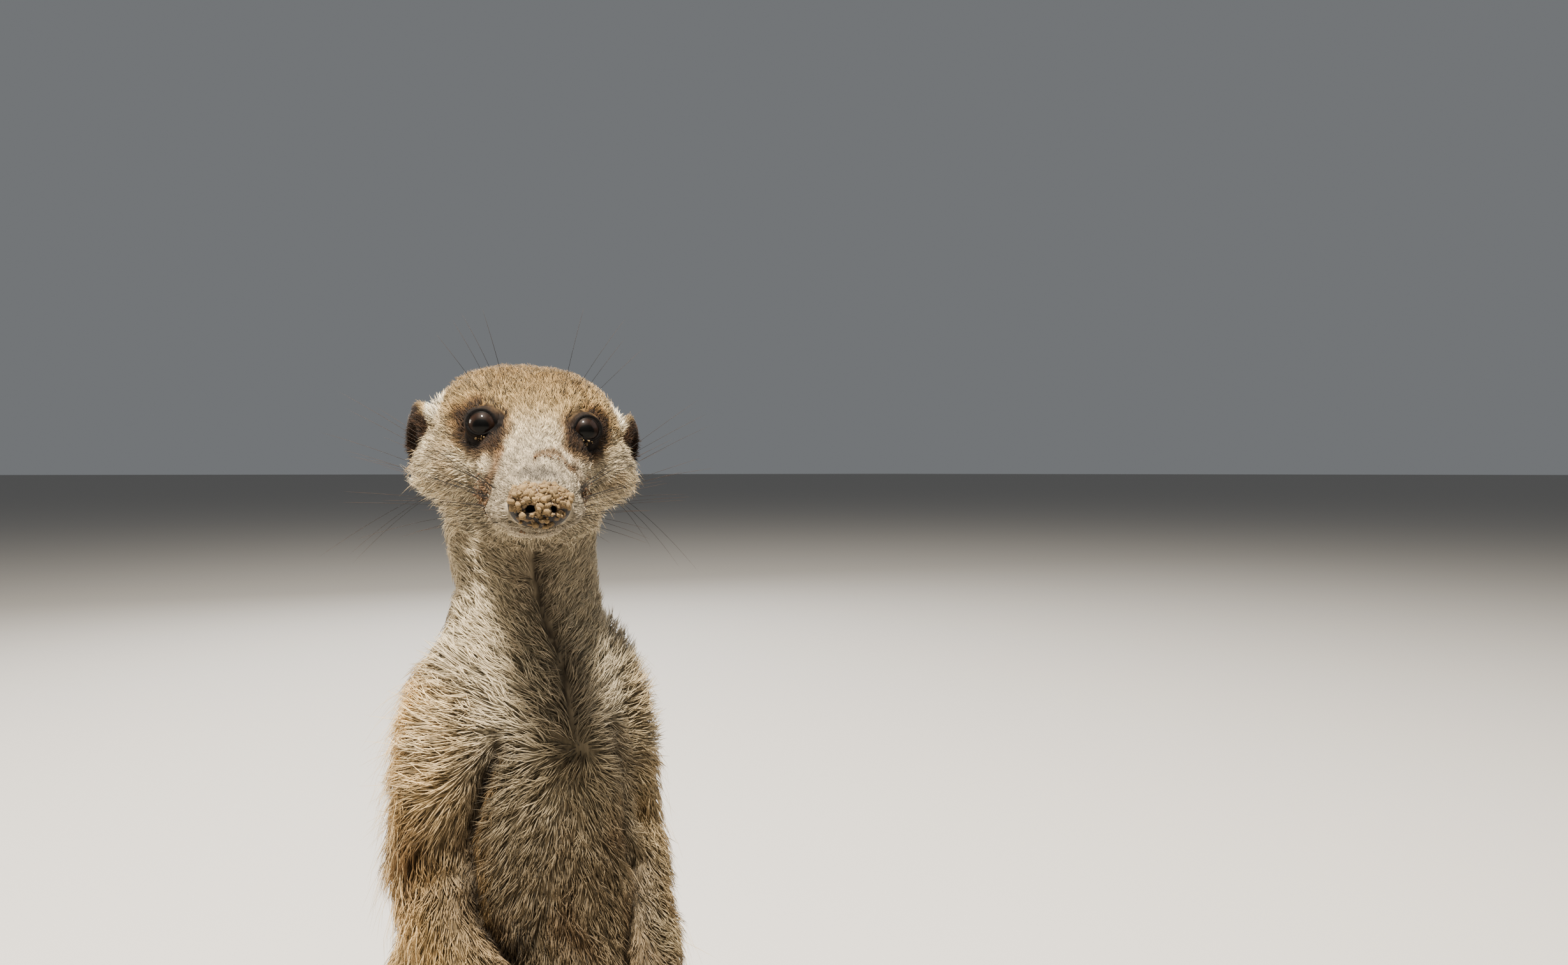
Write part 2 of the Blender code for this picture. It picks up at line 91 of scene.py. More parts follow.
def smooth_step(low, high, values):
    """0 below low, 1 above high, and 3t^2 - 2t^3 between them."""
    t = np.clip((values - low) / (high - low), 0, 1)
    return t * t * (3 - 2 * t)


def bell(offsets, width):
    """A bell of height 1 over an offset of 0: exp(-(offset / width)^2)."""
    return np.exp(-((offsets / width) ** 2))


def ripple(points, wavelength, seed):
    """Smooth noise from about -1 to 1: the mean of seven sine waves of that wavelength across space."""
    rng = np.random.default_rng(seed)
    ways = unit(rng.normal(size=(7, 3))) * rng.uniform(0.7, 1.4, (7, 1)) * 2 * np.pi / wavelength
    return np.sin(points @ ways.T + rng.uniform(0, 2 * np.pi, 7)).sum(axis=1) / 2.6


EYES = {name: middle_of(f"eye_{name}") for name in SIDES}
NOSE = middle_of("nose")
EYE_RADIUS = 5.4
EYE_HEIGHT = 6.0  # above the head's own middle
EYE_REACH = -18.2  # forward of it
NOSE_ANGLE = np.arctan2(18.6, 30.8)  # between the line from the eyes to the nose and the head's own -Y
head_x = unit(EYES["left"] - EYES["right"])
eyes_middle = (EYES["left"] + EYES["right"]) / 2
down_nose = unit(NOSE - eyes_middle)
upward = np.cross(head_x, -down_nose)
head_y = -(np.cos(NOSE_ANGLE) * down_nose + np.sin(NOSE_ANGLE) * upward)
HEAD_AXES = np.array([head_x, head_y, np.cross(head_x, head_y)])
HEAD_MIDDLE = eyes_middle - (EYE_REACH * HEAD_AXES[1] + EYE_HEIGHT * HEAD_AXES[2]) * MM


def to_head(points):
    """Points of the model in the head's own frame, in millimetres."""
    return (points - HEAD_MIDDLE) @ HEAD_AXES.T / MM


def from_head(points):
    """Points of the head's own frame, in millimetres, in the model's frame."""
    return np.asarray(points) * MM @ HEAD_AXES + HEAD_MIDDLE


EYE_PLACES = {side: to_head(EYES[name]) for name, side in SIDES.items()}
NOSE_PLACE = to_head(NOSE)


def towards(values, goal, share):
    """Values moved towards a goal by a share: v + (goal - v) share."""
    return values + (goal - values) * share


def spot(points, middle, radii):
    """How far points are across an ellipsoid: 0 at its middle and 1 on its surface."""
    return np.linalg.norm((points - middle) / radii, axis=-1)


def mesh_of(name, points, faces):
    """A mesh from an array of points and one of triangles or quads, as rows of point numbers."""
    mesh = bpy.data.meshes.new(name)
    mesh.vertices.add(len(points))
    mesh.vertices.foreach_set("co", np.ascontiguousarray(points, np.float32).ravel())
    mesh.loops.add(faces.size)
    mesh.loops.foreach_set("vertex_index", np.ascontiguousarray(faces, np.int32).ravel())
    mesh.polygons.add(len(faces))
    mesh.polygons.foreach_set("loop_start", np.arange(0, faces.size, faces.shape[1], dtype=np.int32))
    mesh.update(calc_edges=True)
    mesh.shade_smooth()
    return mesh


def points_of(mesh):
    """The points of a mesh and their outward normals, as two arrays."""
    points = np.empty(len(mesh.vertices) * 3, np.float32)
    normals = np.empty_like(points)
    mesh.vertices.foreach_get("co", points)
    mesh.vertex_normals.foreach_get("vector", normals)
    return points.reshape(-1, 3).astype(float), normals.reshape(-1, 3).astype(float)


def faces_of(mesh):
    """The triangles of a mesh, as rows of point numbers."""
    mesh.calc_loop_triangles()
    faces = np.empty(len(mesh.loop_triangles) * 3, np.int32)
    mesh.loop_triangles.foreach_get("vertices", faces)
    return faces.reshape(-1, 3)


def merged_copy(node):
    """A copy of a CAD node's mesh, with its loose triangles merged."""
    work = bmesh.new()
    work.from_mesh(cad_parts[node].data)
    bmesh.ops.remove_doubles(work, verts=work.verts, dist=0.002 * MM)
    bmesh.ops.triangulate(work, faces=work.faces)
    mesh = bpy.data.meshes.new(node + "_copy")
    work.to_mesh(mesh)
    work.free()
    return mesh


def swollen(nodes, swell):
    """One mesh of several nodes, each moved outwards along its normals by swell."""
    all_points, all_faces, count = [], [], 0
    for node in nodes:
        copy = merged_copy(node)
        points, normals = points_of(copy)
        all_points.append(points + normals * swell)
        all_faces.append(faces_of(copy) + count)
        count += len(points)
    return mesh_of("flesh", np.vstack(all_points), np.vstack(all_faces))


def worked(mesh, weights, *modifiers):
    """The mesh with modifiers applied, each given as (type, settings), and with named groups of weights.

    A weight is 0 or 1 for each point.
    """
    obj = bpy.data.objects.new("worked", mesh)
    scene.collection.objects.link(obj)
    for name, weight in weights.items():
        group = obj.vertex_groups.new(name=name)
        group.add(np.flatnonzero(weight).tolist(), 1, "REPLACE")
    for kind, settings in modifiers:
        modifier = obj.modifiers.new(kind, kind)
        for setting, value in settings.items():
            setattr(modifier, setting, value)
    result = bpy.data.meshes.new_from_object(obj.evaluated_get(bpy.context.evaluated_depsgraph_get()))
    bpy.data.objects.remove(obj)
    return result


def in_head(points):
    """From 0 on the body to 1 on the head, by an egg about the head whose rim is soft."""
    reach = np.linalg.norm(to_head(points) / (38, 58, 30), axis=1)
    return 1 - smooth_step(0.96, 1.12, reach)


flesh = worked(
    swollen(FLESH + ["eye_left", "eye_right"], SWELL),
    {},
    ("REMESH", {"mode": "VOXEL", "voxel_size": SKIN_GRAIN}),
    ("SMOOTH", {"factor": 0.5, "iterations": 4}),
    ("TRIANGULATE", {}),
)
points = points_of(flesh)[0]
low_parts = points[:, 2] < 24 * MM
paws = (points[:, 2] < 124 * MM) & (points[:, 1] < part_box("forearm_left")[0].y + 12 * MM)
body = (in_head(points) < 0.5) & ~low_parts & ~paws
face = in_head(points) > 0.9
flesh = worked(
    flesh,
    {"body": body, "off_face": ~face},
    ("SMOOTH", {"factor": 0.5, "iterations": 18, "vertex_group": "body"}),
    ("DECIMATE", {"ratio": SKIN_FACES / len(flesh.polygons), "vertex_group": "off_face"}),
    ("TRIANGULATE", {}),
)


def smooth_line(rows, count):
    """Rows of numbers read at even steps along a Catmull-Rom curve through them."""
    keys = np.array(rows, float)
    padded = np.vstack([2 * keys[0] - keys[1], keys, 2 * keys[-1] - keys[-2]])
    place = np.linspace(0, len(keys) - 1, count)
    first = np.minimum(place.astype(int), len(keys) - 2)
    t = (place - first)[:, None]
    a, b, c, d = (padded[first + k] for k in range(4))
    return (2 * b + (c - a) * t + (2 * a - 5 * b + 4 * c - d) * t**2 + (3 * b - a - 3 * c + d) * t**3) / 2


def seam(first, second):
    """The middle of the cut where two neighbouring nodes meet, and its mean radius, as one row."""
    near, other = (points_of(merged_copy(node))[0] for node in (first, second))
    gaps = np.linalg.norm(near[:, None] - other[None], axis=2).min(axis=1)
    rim = near[gaps < 1.5 * MM]
    middle = rim.mean(axis=0)
    return (*middle, np.linalg.norm(rim - middle, axis=1).mean())


def level_ring(node, height):
    """The middle and mean radius of a node's points close to a height, as one row."""
    near = points_of(merged_copy(node))[0]
    near = near[np.abs(near[:, 2] - height) < 11 * MM]
    middle = (near.min(axis=0) + near.max(axis=0)) / 2
    return (middle[0], middle[1], height, np.linalg.norm((near - middle)[:, :2], axis=1).mean())


def arm_line(side):
    """Shoulder, elbow, wrist and finger tips of one arm, as rows of a point and a radius."""
    low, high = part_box(f"upper_arm_{side}")
    shoulder = ((low.x + high.x) / 2, (low.y + high.y) / 2, high.z - 12 * MM, 12 * MM)
    low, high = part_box(f"forepaw_{side}")
    tips = ((low.x + high.x) / 2, (low.y + high.y) / 2 - 3 * MM, low.z, 4 * MM)
    elbow = seam(f"upper_arm_{side}", f"forearm_{side}")
    return [shoulder, elbow, seam(f"forearm_{side}", f"forepaw_{side}"), tips]


def leg_line(side):
    """Hip, knee, ankle and toe tips of one leg, as rows of a point and a radius."""
    low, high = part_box(f"thigh_{side}")
    hip = ((low.x + high.x) / 2, high.y - 20 * MM, high.z - 16 * MM, 17 * MM)
    low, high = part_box(f"hind_foot_{side}")
    toes = ((low.x + high.x) / 2, low.y, 3 * MM, 5 * MM)
    knee = seam(f"thigh_{side}", f"shank_{side}")
    return [hip, knee, seam(f"shank_{side}", f"hind_foot_{side}"), toes]


trunk_low, trunk_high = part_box("trunk")
trunk_levels = np.linspace(trunk_low.z + 16 * MM, trunk_high.z - 10 * MM, 6)
LINES = {
    "trunk": [level_ring("trunk", z) for z in trunk_levels] + [seam("neck", "trunk"), seam("neck", "head")],
    "arm_left": arm_line("left"),
    "arm_right": arm_line("right"),
    "leg_left": leg_line("left"),
    "leg_right": leg_line("right"),
    "tail": [
        seam("trunk", "tail_root"),
        (*points_of(merged_copy("tail_root"))[0].mean(axis=0), 10 * MM),
        seam("tail_root", "tail_middle"),
        seam("tail_middle", "tail_tip"),
        (*middle_of("tail_tip")[:1] + 6 * MM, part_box("tail_tip")[1].y, 4 * MM, 4 * MM),
    ],
}


LINE_POINTS = 13  # along each smooth line


def along_lines(points):
    """For each line of the body, at each point: how far outside its tube, its direction there, and the
    place along it from 0 to 1. The tube's radius is the distance from the line less the gap returned."""
    gaps, ways, places = [], [], []
    for rows in LINES.values():
        line = smooth_line(rows, LINE_POINTS)
        gap = np.full(len(points), 9.0)
        way = np.zeros((len(points), 3))
        place = np.zeros(len(points))
        for number, (start, end) in enumerate(zip(line, line[1:])):
            run = end[:3] - start[:3]
            share = np.clip((points - start[:3]) @ run / (run @ run), 0, 1)
            middle = start[:3] + share[:, None] * run
            here = np.linalg.norm(points - middle, axis=1) - (start[3] + share * (end[3] - start[3]))
            nearer = here < gap
            gap = np.where(nearer, here, gap)
            way[nearer] = unit(run)
            place = np.where(nearer, (number + share) / (len(line) - 1), place)
        gaps.append(gap)
        ways.append(way)
        places.append(place)
    return np.array(gaps).T, np.array(ways).transpose(1, 0, 2), np.array(places).T


# Where each arm presses against the chest: turns about the trunk, in degrees from its front, by height.
CREASE_HEIGHTS = (136, 148, 157, 170, 184)
CREASE_TURNS = {"right": (36, 45, 46.5, 42, 31), "left": (28, 36, 39, 38, 30)}


def arm_creases(points):
    """How far outside the crease between body and arm each point is, in millimetres, and how deep it is.

    Beside the chest the first is the turn past the crease times the trunk's radius, and by the forearm it
    is how much nearer the arm's tube is than the trunk's. The second fades where the two don't touch.
    """
    mm = points / MM
    off = mm[:, :2] - middle_of("trunk")[:2] / MM - (0, 3)
    turn = np.degrees(np.arctan2(np.abs(off[:, 0]), -off[:, 1]))
    crease = {name: np.interp(mm[:, 2], CREASE_HEIGHTS, turns) for name, turns in CREASE_TURNS.items()}
    crease = np.where(mm[:, 0] > 0, crease["left"], crease["right"])
    outside = np.radians(turn - crease) * np.linalg.norm(off, axis=1)
    gaps = along_lines(points)[0] / MM
    arm_gap = np.where(mm[:, 0] > 0, gaps[:, 1], gaps[:, 2])
    low = smooth_step(146, 136, mm[:, 2])
    outside += (0.8 * (gaps[:, 0] - arm_gap) - outside) * low
    touching = smooth_step(9, 5, np.abs(gaps[:, 0])) * smooth_step(9, 5, np.abs(arm_gap))
    touching = touching * smooth_step(98, 106, mm[:, 2])
    beside_chest = smooth_step(190, 182, mm[:, 2]) * (turn < 95)
    return outside, beside_chest * (1 - low) + touching * low


# How deep the skin lies under the coat, in millimetres.
BODY_DEPTH = 2.6
LEG_DEPTH = 1.2
FOREPAW_DEPTH = 1.0
FOOT_DEPTH = 0.45
CHEEK_DEPTH = 1.9


def coat_depth(points):
    """How far the skin lies below the tips of the coat: least by the nose and on the feet."""
    head = to_head(points)
    on_head = in_head(points)
    height = points[:, 2] / MM
    depth = np.full(len(points), BODY_DEPTH)
    depth += (LEG_DEPTH - depth) * smooth_step(60, 45, height)
    depth += (FOREPAW_DEPTH - depth) * smooth_step(126, 116, height) * (points[:, 1] < -0.085)
    depth += (FOOT_DEPTH - depth) * smooth_step(26, 18, height) * (points[:, 1] < 0)
    face_depth = CHEEK_DEPTH - 1.2 * smooth_step(-8, -30, head[:, 1])
    face_depth *= 1 - 0.6 * smooth_step(29, 33, np.abs(head[:, 0])) * smooth_step(0, 6, head[:, 1])
    depth += (face_depth - depth) * on_head
    nose_gap = np.linalg.norm(head - NOSE_PLACE, axis=1)
    depth *= smooth_step(3, 11, nose_gap) * 0.9 + 0.1
    return depth * MM


# The opening between the lids is an oval about the eye's own axis, given by its angle from that axis.
LID_AXIS = unit(np.array((0.235, -0.94, 0.27)))
LID_THICKNESS = 0.55
OPENING_WIDTH = 43  # half of it, in degrees at the eye's middle
OPENING_TOP = 40
OPENING_BOTTOM = 38


def eye_axes(side):
    """An eye opening's axis, and the directions outwards and up across it, in the head's frame."""
    axis = LID_AXIS * (side, 1, 1)
    outward = unit(np.array((side, 0, 0)) - axis * axis[0] * side)
    return axis, outward, np.cross(axis, outward) * side


def turned(slant, turn, axis, level, above):
    """Directions at a slant from an axis, and at a turn about it from level towards above, in radians."""
    round_axis = np.cos(turn)[:, None] * level + np.sin(turn)[:, None] * above
    return np.cos(slant)[:, None] * axis + np.sin(slant)[:, None] * round_axis


def eye_angles(head_points, side):
    """Distance from an eye's middle, the angle off its axis, and the turn about it, 0 outwards, 90 up.

    The turn is in radians, the other angle in degrees.
    """
    axis, outward, above = eye_axes(side)
    offset = head_points - EYE_PLACES[side]
    distance = np.linalg.norm(offset, axis=1)
    angle = np.degrees(np.arccos(np.clip(offset @ axis / np.maximum(distance, 1e-9), -1, 1)))
    return distance, angle, np.arctan2(offset @ above, offset @ outward)


def opening_angle(turn):
    """The opening's half angle at a turn about the eye: an oval, drawn out at the inner corner."""
    height = np.where(np.sin(turn) > 0, OPENING_TOP, OPENING_BOTTOM)
    oval = 1 / np.sqrt((np.cos(turn) / OPENING_WIDTH) ** 2 + (np.sin(turn) / height) ** 2)
    from_corner = np.angle(np.exp(1j * (turn - np.radians(193))))
    return oval + 7 * bell(from_corner, 0.3)


def eye_place(side, distance, angle, turn):
    """The head's point at a distance, angle and turn, which undoes eye_angles."""
    return EYE_PLACES[side] + turned(np.radians(angle), turn, *eye_axes(side)) * distance[:, None]


def finer_round_eyes(mesh, reach, cuts):
    """The mesh with the faces near each eye's opening split into smaller ones."""
    work = bmesh.new()
    work.from_mesh(mesh)
    head = to_head(points_of(mesh)[0])
    near = np.zeros(len(head), bool)
    for side in SIDES.values():
        distance, angle, _ = eye_angles(head, side)
        near |= (distance < 9.5) & (angle < reach)
    edges = [edge for edge in work.edges if near[edge.verts[0].index] or near[edge.verts[1].index]]
    bmesh.ops.subdivide_edges(work, edges=edges, cuts=cuts, use_grid_fill=True)
    bmesh.ops.triangulate(work, faces=work.faces)
    finer = bpy.data.meshes.new("flesh")
    work.to_mesh(finer)
    work.free()
    return finer


def formed_lids(points, faces):
    """Skin points and faces with the lids laid over both eyes, cut open and given their thickness.

    A point nearer the eye's middle than the lid's outer side is moved out to it, with creases that run
    round the eye. Faces inside the opening go, the rim is set on its curve and drawn down to the eye.
    """
    for side in SIDES.values():
        head = to_head(points)
        distance, angle, turn = eye_angles(head, side)
        margin = opening_angle(turn)
        past = angle - margin
        share = 1 - smooth_step(56, 84, angle)
        folds = 0.14 * np.cos(past / 2.4 + 1.2 * np.cos(turn)) + 0.22 * bell(past - 19, 3) * np.sin(turn)
        creases = folds * smooth_step(2, 9, past) * smooth_step(46, 26, past)
        creases += 0.10 * bell(past - 3.2, 3.4) + 0.06 * ripple(head, 1.5, 35) * smooth_step(3, 9, past)
        over = EYE_RADIUS + LID_THICKNESS + creases
        near = (distance < 11) & (angle < 92)
        share = share * smooth_step(11, 7.5, distance)
        new_distance = distance + (over - distance) * share
        rim = near & (np.abs(past) < 3)
        angle = np.where(rim, np.maximum(angle, margin), angle)
        head = np.where(near[:, None], eye_place(side, new_distance, angle, turn), head)
        points = from_head(head)
        keep = ~(near & (past < -0.5))[faces].any(axis=1)
        faces = faces[keep]
        edges = np.sort(np.vstack([faces[:, [0, 1]], faces[:, [1, 2]], faces[:, [2, 0]]]), axis=1)
        directed = np.vstack([faces[:, [0, 1]], faces[:, [1, 2]], faces[:, [2, 0]]])
        first, uses = np.unique(edges, axis=0, return_index=True, return_counts=True)[1:]
        rim_edges = directed[first[uses == 1]]
        rim_edges = rim_edges[near[rim_edges].all(axis=1)]
        rim_points = np.unique(rim_edges)
        distance, angle, turn = eye_angles(to_head(points[rim_points]), side)
        margin = opening_angle(turn)
        points[rim_points] = from_head(eye_place(side, distance, margin, turn))
        inner = from_head(eye_place(side, np.full(len(margin), EYE_RADIUS - 0.25), margin - 4.5, turn))
        number = np.zeros(len(points), int)
        number[rim_points] = len(points) + np.arange(len(rim_points))
        a, b = rim_edges.T
        strip = np.vstack([np.stack([b, a, number[a]], 1), np.stack([b, number[a], number[b]], 1)])
        points = np.vstack([points, inner])
        faces = np.vstack([faces, strip])
    return points, faces


def mouth_line(head):
    """How near a head point is to the mouth, in millimetres: a line that fades out backwards."""
    height = -20.6 + 1.2 * (np.abs(head[:, 0]) / 9) ** 2 - 0.1 * (head[:, 1] + 42)
    return np.abs(head[:, 2] - height) + 4 * smooth_step(-41, -34, head[:, 1]) + 99 * (head[:, 1] > -30)


def nose_collar(points):
    """How far the skin is drawn forward round the nose pad, in millimetres: most at the pad's rim."""
    head = to_head(points)
    ring = spot(head[:, [0, 2]], NOSE_PLACE[[0, 2]], (8.4, 5.9))
    return 3.6 * smooth_step(1.8, 1.1, ring) * smooth_step(-34, -42, head[:, 1]) * in_head(points)


flesh = finer_round_eyes(flesh, 100, 1)
flesh = finer_round_eyes(flesh, 62, 1)
points, normals = points_of(flesh)
faces = faces_of(flesh)
points = points - normals * coat_depth(points)[:, None]
outside, crease_depth = arm_creases(points)
swell = 1.3 * bell(outside - 8, 4.5) + 0.6 * bell(outside + 7, 4)
groove = swell - 4.2 * bell(outside, 2.6)
points = points + normals * (groove * crease_depth * MM)[:, None]
mouth = bell(mouth_line(to_head(points)), 0.9)
points = points - normals * (0.9 * MM * mouth)[:, None]
points = points - HEAD_AXES[1] * (nose_collar(points) * MM)[:, None]
points, faces = formed_lids(points, faces)
used = np.unique(faces)
renumber = np.zeros(len(points), int)
renumber[used] = np.arange(len(used))
skin_mesh = mesh_of("skin", points[used], renumber[faces])


def finish_piece(name, mesh, material, slot, *nodes):
    """An object at the origin that rides on the model, wears material and stands for nodes; slot is not used.
    """
    obj = bpy.data.objects.new(name, mesh)
    obj.data.materials.clear()
    obj.data.materials.append(material)
    scene.collection.objects.link(obj)
    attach(obj, "root")
    if nodes:
        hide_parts(*nodes)
    return obj


def tint(red, green, blue):
    """A colour given by its sRGB values from 0 to 255, as the shaders take it."""
    values = np.array((red, green, blue)) / 255
    return np.where(values < 0.04045, values / 12.92, ((values + 0.055) / 1.055) ** 2.4)


CHEST_WHORL = np.array((2.5 * MM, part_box("trunk")[0].y + 8 * MM, 180 * MM))
PARTING_HEIGHTS = (180, 205, 225, 245)
PARTING = (2.5, 1.0, -4.5, -9.0)  # beside the middle at those heights
TAN = tint(178, 148, 108)
# Partly the coat's own gold, partly painted warm sunlight on the animal's right.
GOLD_AND_SUNLIGHT = tint(226, 190, 134)
SILVER = tint(205, 190, 162)
CREAM = tint(228, 211, 180)
CHEST = tint(140, 126, 102)
BELLY = tint(108, 94, 73)
GRIZZLE = tint(150, 130, 100)
BROWN = tint(86, 60, 38)
DARK = tint(26, 18, 13)
# Painted shade on the animal's left side.
SHADED_LEFT_SIDE = tint(146, 133, 108)
BETWEEN_BARS = tint(182, 160, 122)
BAR = tint(40, 27, 17)
# Painted shade beside the creases where the arms meet the chest.
CREASE_EDGE_SHADE = tint(120, 108, 92)
# The darker underfur along the throat's parting, with painted shade in its furrow.
PARTING_UNDERFUR_AND_SHADE = tint(120, 104, 86)
CROWN = tint(170, 145, 105)
TOP_OF_CROWN = tint(124, 99, 64)
NAPE = tint(160, 134, 96)
MUZZLE = tint(176, 164, 144)
ABOVE_NOSE = tint(98, 91, 84)
TEAR_STAIN = tint(112, 76, 42)
CHEEK = tint(140, 108, 70)
PATCH_EDGE = tint(112, 82, 50)
EYE_PATCH = tint(48, 32, 20)
EAR = tint(50, 34, 21)
EAR_TUFT = tint(238, 226, 200)
GREY_SKIN = tint(22, 19, 18)
LID_EDGE = tint(9, 7, 7)
EARTH = tint(70, 46, 26)
BRIDGE_EARTH = tint(108, 80, 52)
LIPS = tint(20, 14, 11)

# Spots of colour, as a middle and radii in millimetres: two on the body, and those of the head's left
# half in its own frame, which the right half mirrors.
ARM_SPOT = ((-44, -66, 152), (13, 22, 17))
# Painted shadow of the right forearm on the belly:
FOREARM_SHADOW_SPOT = ((-15, -91, 131), (3.6, 6, 3.2))
ABOVE_NOSE_SPOT = ((0, -46, -4.5), (9, 6, 3.2))
CHEEK_SPOT = ((22, -9, -7), (7, 12, 8))
EAR_SPOT = ((33.5, 9.5, -4.5), (5.8, 11, 13.8))
EAR_TUFT_SPOT = ((28, 4, 8.5), (4, 5, 4.5))
EARTH_SPOT = ((15, -29, -13.5), (5.0, 6.5, 5.5))
BAR_PERIOD = 14.5  # of the dark bars down the back
DEPTH_OF_COLOUR = 1.12  # how much farther from grey the coat is than its tints are


def mixed(colours, tone, share):
    """Rows of colours moved towards a tone by a share for each."""
    return colours + (tone - colours) * np.clip(share, 0, 1)[:, None]


def lid_ring(off):
    """How far offsets from an eye's middle are across the bare ring of its lids, which ends at 1."""
    return np.linalg.norm(off[:, [0, 2]] / (6.2, 5.9), axis=1)


def bridge_arc(share):
    """The height of the smear of earth over the bridge, from 0 at its right end to 1 at its left."""
    return -1.6 + 1.8 * np.sin(np.pi * np.clip(share, 0, 1) ** 0.8) - 2.8 * smooth_step(0.5, 1, share)


def body_colours(points, normals, wander, fine):
    """The coat's colour off the head: gold outside, barred on the back, with a dark tip to the tail.

    Part of the gold is painted warm sunlight, full on the animal's right. Painted shade greys its left side,
    darkens the creases by the arms and lies on the belly beside the right forearm.
    """
    mm = points / MM
    x, y, z = mm.T
    front = smooth_step(0.15, 0.75, -normals[:, 1])
    back = smooth_step(0.05, 0.55, normals[:, 1])
    colours = np.tile(TAN, (len(points), 1))
    colours = mixed(colours, BELLY, front)
    colours = mixed(colours, CHEST, front * smooth_step(140, 172, z))
    colours = mixed(colours, SILVER, front * smooth_step(176, 206, z + 0.35 * np.abs(x)))
    outer = smooth_step(20, 36, np.abs(x)) * smooth_step(100, 130, z) * smooth_step(214, 196, z)
    # Painted light: the gold is cut back on the animal's left, as shade, and full on its right, as warm
    # sunlight.
    outer = outer * (1 - 0.6 * (x > 0))
    # Painted shade: the animal's left side, front and flank, is greyed.
    shaded_left_side = smooth_step(10, 30, x) * smooth_step(96, 120, z) * (normals[:, 1] < 0.3)
    colours = mixed(colours, SHADED_LEFT_SIDE, shaded_left_side * 0.75)
    colours = mixed(colours, GOLD_AND_SUNLIGHT, outer * (1 - 0.4 * front) * (0.75 + 0.25 * wander))
    neck_side = smooth_step(-0.8, -0.2, -normals[:, 1]) * smooth_step(198, 214, z)
    colours = mixed(colours, SILVER, neck_side)
    colours = mixed(colours, GRIZZLE, back * 0.9)
    bars = np.cos((z + 2.2 * ripple(points, 30 * MM, 3) + 0.1 * np.abs(x)) * 2 * np.pi / BAR_PERIOD)
    barred = smooth_step(84, 98, z) * smooth_step(200, 178, z) * smooth_step(0.2, 0.6, normals[:, 1])
    barred = barred * (y > -80) * (y < -20)
    colours = mixed(colours, BETWEEN_BARS, barred * 0.8)
    colours = mixed(colours, BAR, smooth_step(0.0, 0.5, bars + 0.15 * fine) * barred * 0.92)
    outside, crease_depth = arm_creases(points)
    colours = mixed(colours, BROWN, smooth_step(1.15, 0.3, spot(mm, *ARM_SPOT) + 0.1 * fine) * 0.85)
    brown = front * smooth_step(0.1, 0.9, wander) * smooth_step(170, 150, z)
    colours = mixed(colours, BROWN, brown * 0.4)
    # Painted shade: near black in the creases where the arms press on the chest, and a softer darker band
    # beside each.
    colours = mixed(colours, DARK, bell(outside, 3.4) * crease_depth * 0.9)
    colours = mixed(colours, CREASE_EDGE_SHADE, bell(outside - 5.5, 4) * crease_depth * 0.45)
    # Painted shadow: a dark patch on the belly just inside the right forearm.
    colours = mixed(colours, DARK, smooth_step(1.2, 0.6, spot(mm, *FOREARM_SHADOW_SPOT)) * 0.85)
    colours = mixed(colours, TAN, smooth_step(-30, -10, y) * smooth_step(75, 60, z))
    colours = mixed(colours, DARK, smooth_step(76, 88, y + 2 * fine))
    feet = smooth_step(30, 14, z) * (y < -40)
    return mixed(colours, CREAM, feet * 0.6)


def half_face_colours(face, head, side, wander, fine):
    """The face's colours with those of one half added: eye patch, tear stain, cheek, ear, lids and earth."""
    half = head * (side, 1, 1)
    off = (head - EYE_PLACES[side]) * (side, 1, 1)
    drop = np.where(off[:, 2] < 0, 1.0, 1.2)
    patch = np.sqrt(((off[:, 0] - 0.4) / 7.2) ** 2 + ((off[:, 2] + 0.6) * drop / 7.8) ** 2)
    patch = patch + 0.07 * fine + 0.05 * wander + 9 * (head[:, 1] > 2)
    tear = np.abs(off[:, 0] + 7.4 + 0.35 * off[:, 2]) + 9 * (off[:, 2] > -5) + 9 * (off[:, 2] < -18)
    stained = 0.75 if side < 0 else 0.3
    face = mixed(face, TEAR_STAIN, smooth_step(1.7, 0.3, tear + 0.4 * fine) * stained)
    browner = smooth_step(1.2, 0.5, spot(half, *CHEEK_SPOT)) * smooth_step(-0.8, 0.8, fine)
    face = mixed(face, CHEEK, browner * 0.6)
    face = mixed(face, PATCH_EDGE, smooth_step(1.34, 0.98, patch) * 0.8)
    face = mixed(face, EYE_PATCH, smooth_step(1.1, 0.8, patch) * 0.95)
    face = mixed(face, EAR, smooth_step(1.12, 0.92, spot(half, *EAR_SPOT) + 0.05 * fine))
    face = mixed(face, EAR_TUFT, smooth_step(1.2, 0.7, spot(half, *EAR_TUFT_SPOT)) * 0.9)
    distance, angle, turn = eye_angles(head, side)
    bare = (distance < 9) * smooth_step(1.25, 1.0, lid_ring(off)) * (off[:, 1] < 2)
    face = mixed(face, GREY_SKIN * 1.5, bare * (0.9 - 0.1 * fine))
    face = mixed(face, LID_EDGE, bare * smooth_step(7, 1.5, angle - opening_angle(turn)))
    soiled = 0.85 if side < 0 else 0.6
    return mixed(face, EARTH, smooth_step(1.1, 0.4, spot(half, *EARTH_SPOT) + 0.35 * fine) * soiled)


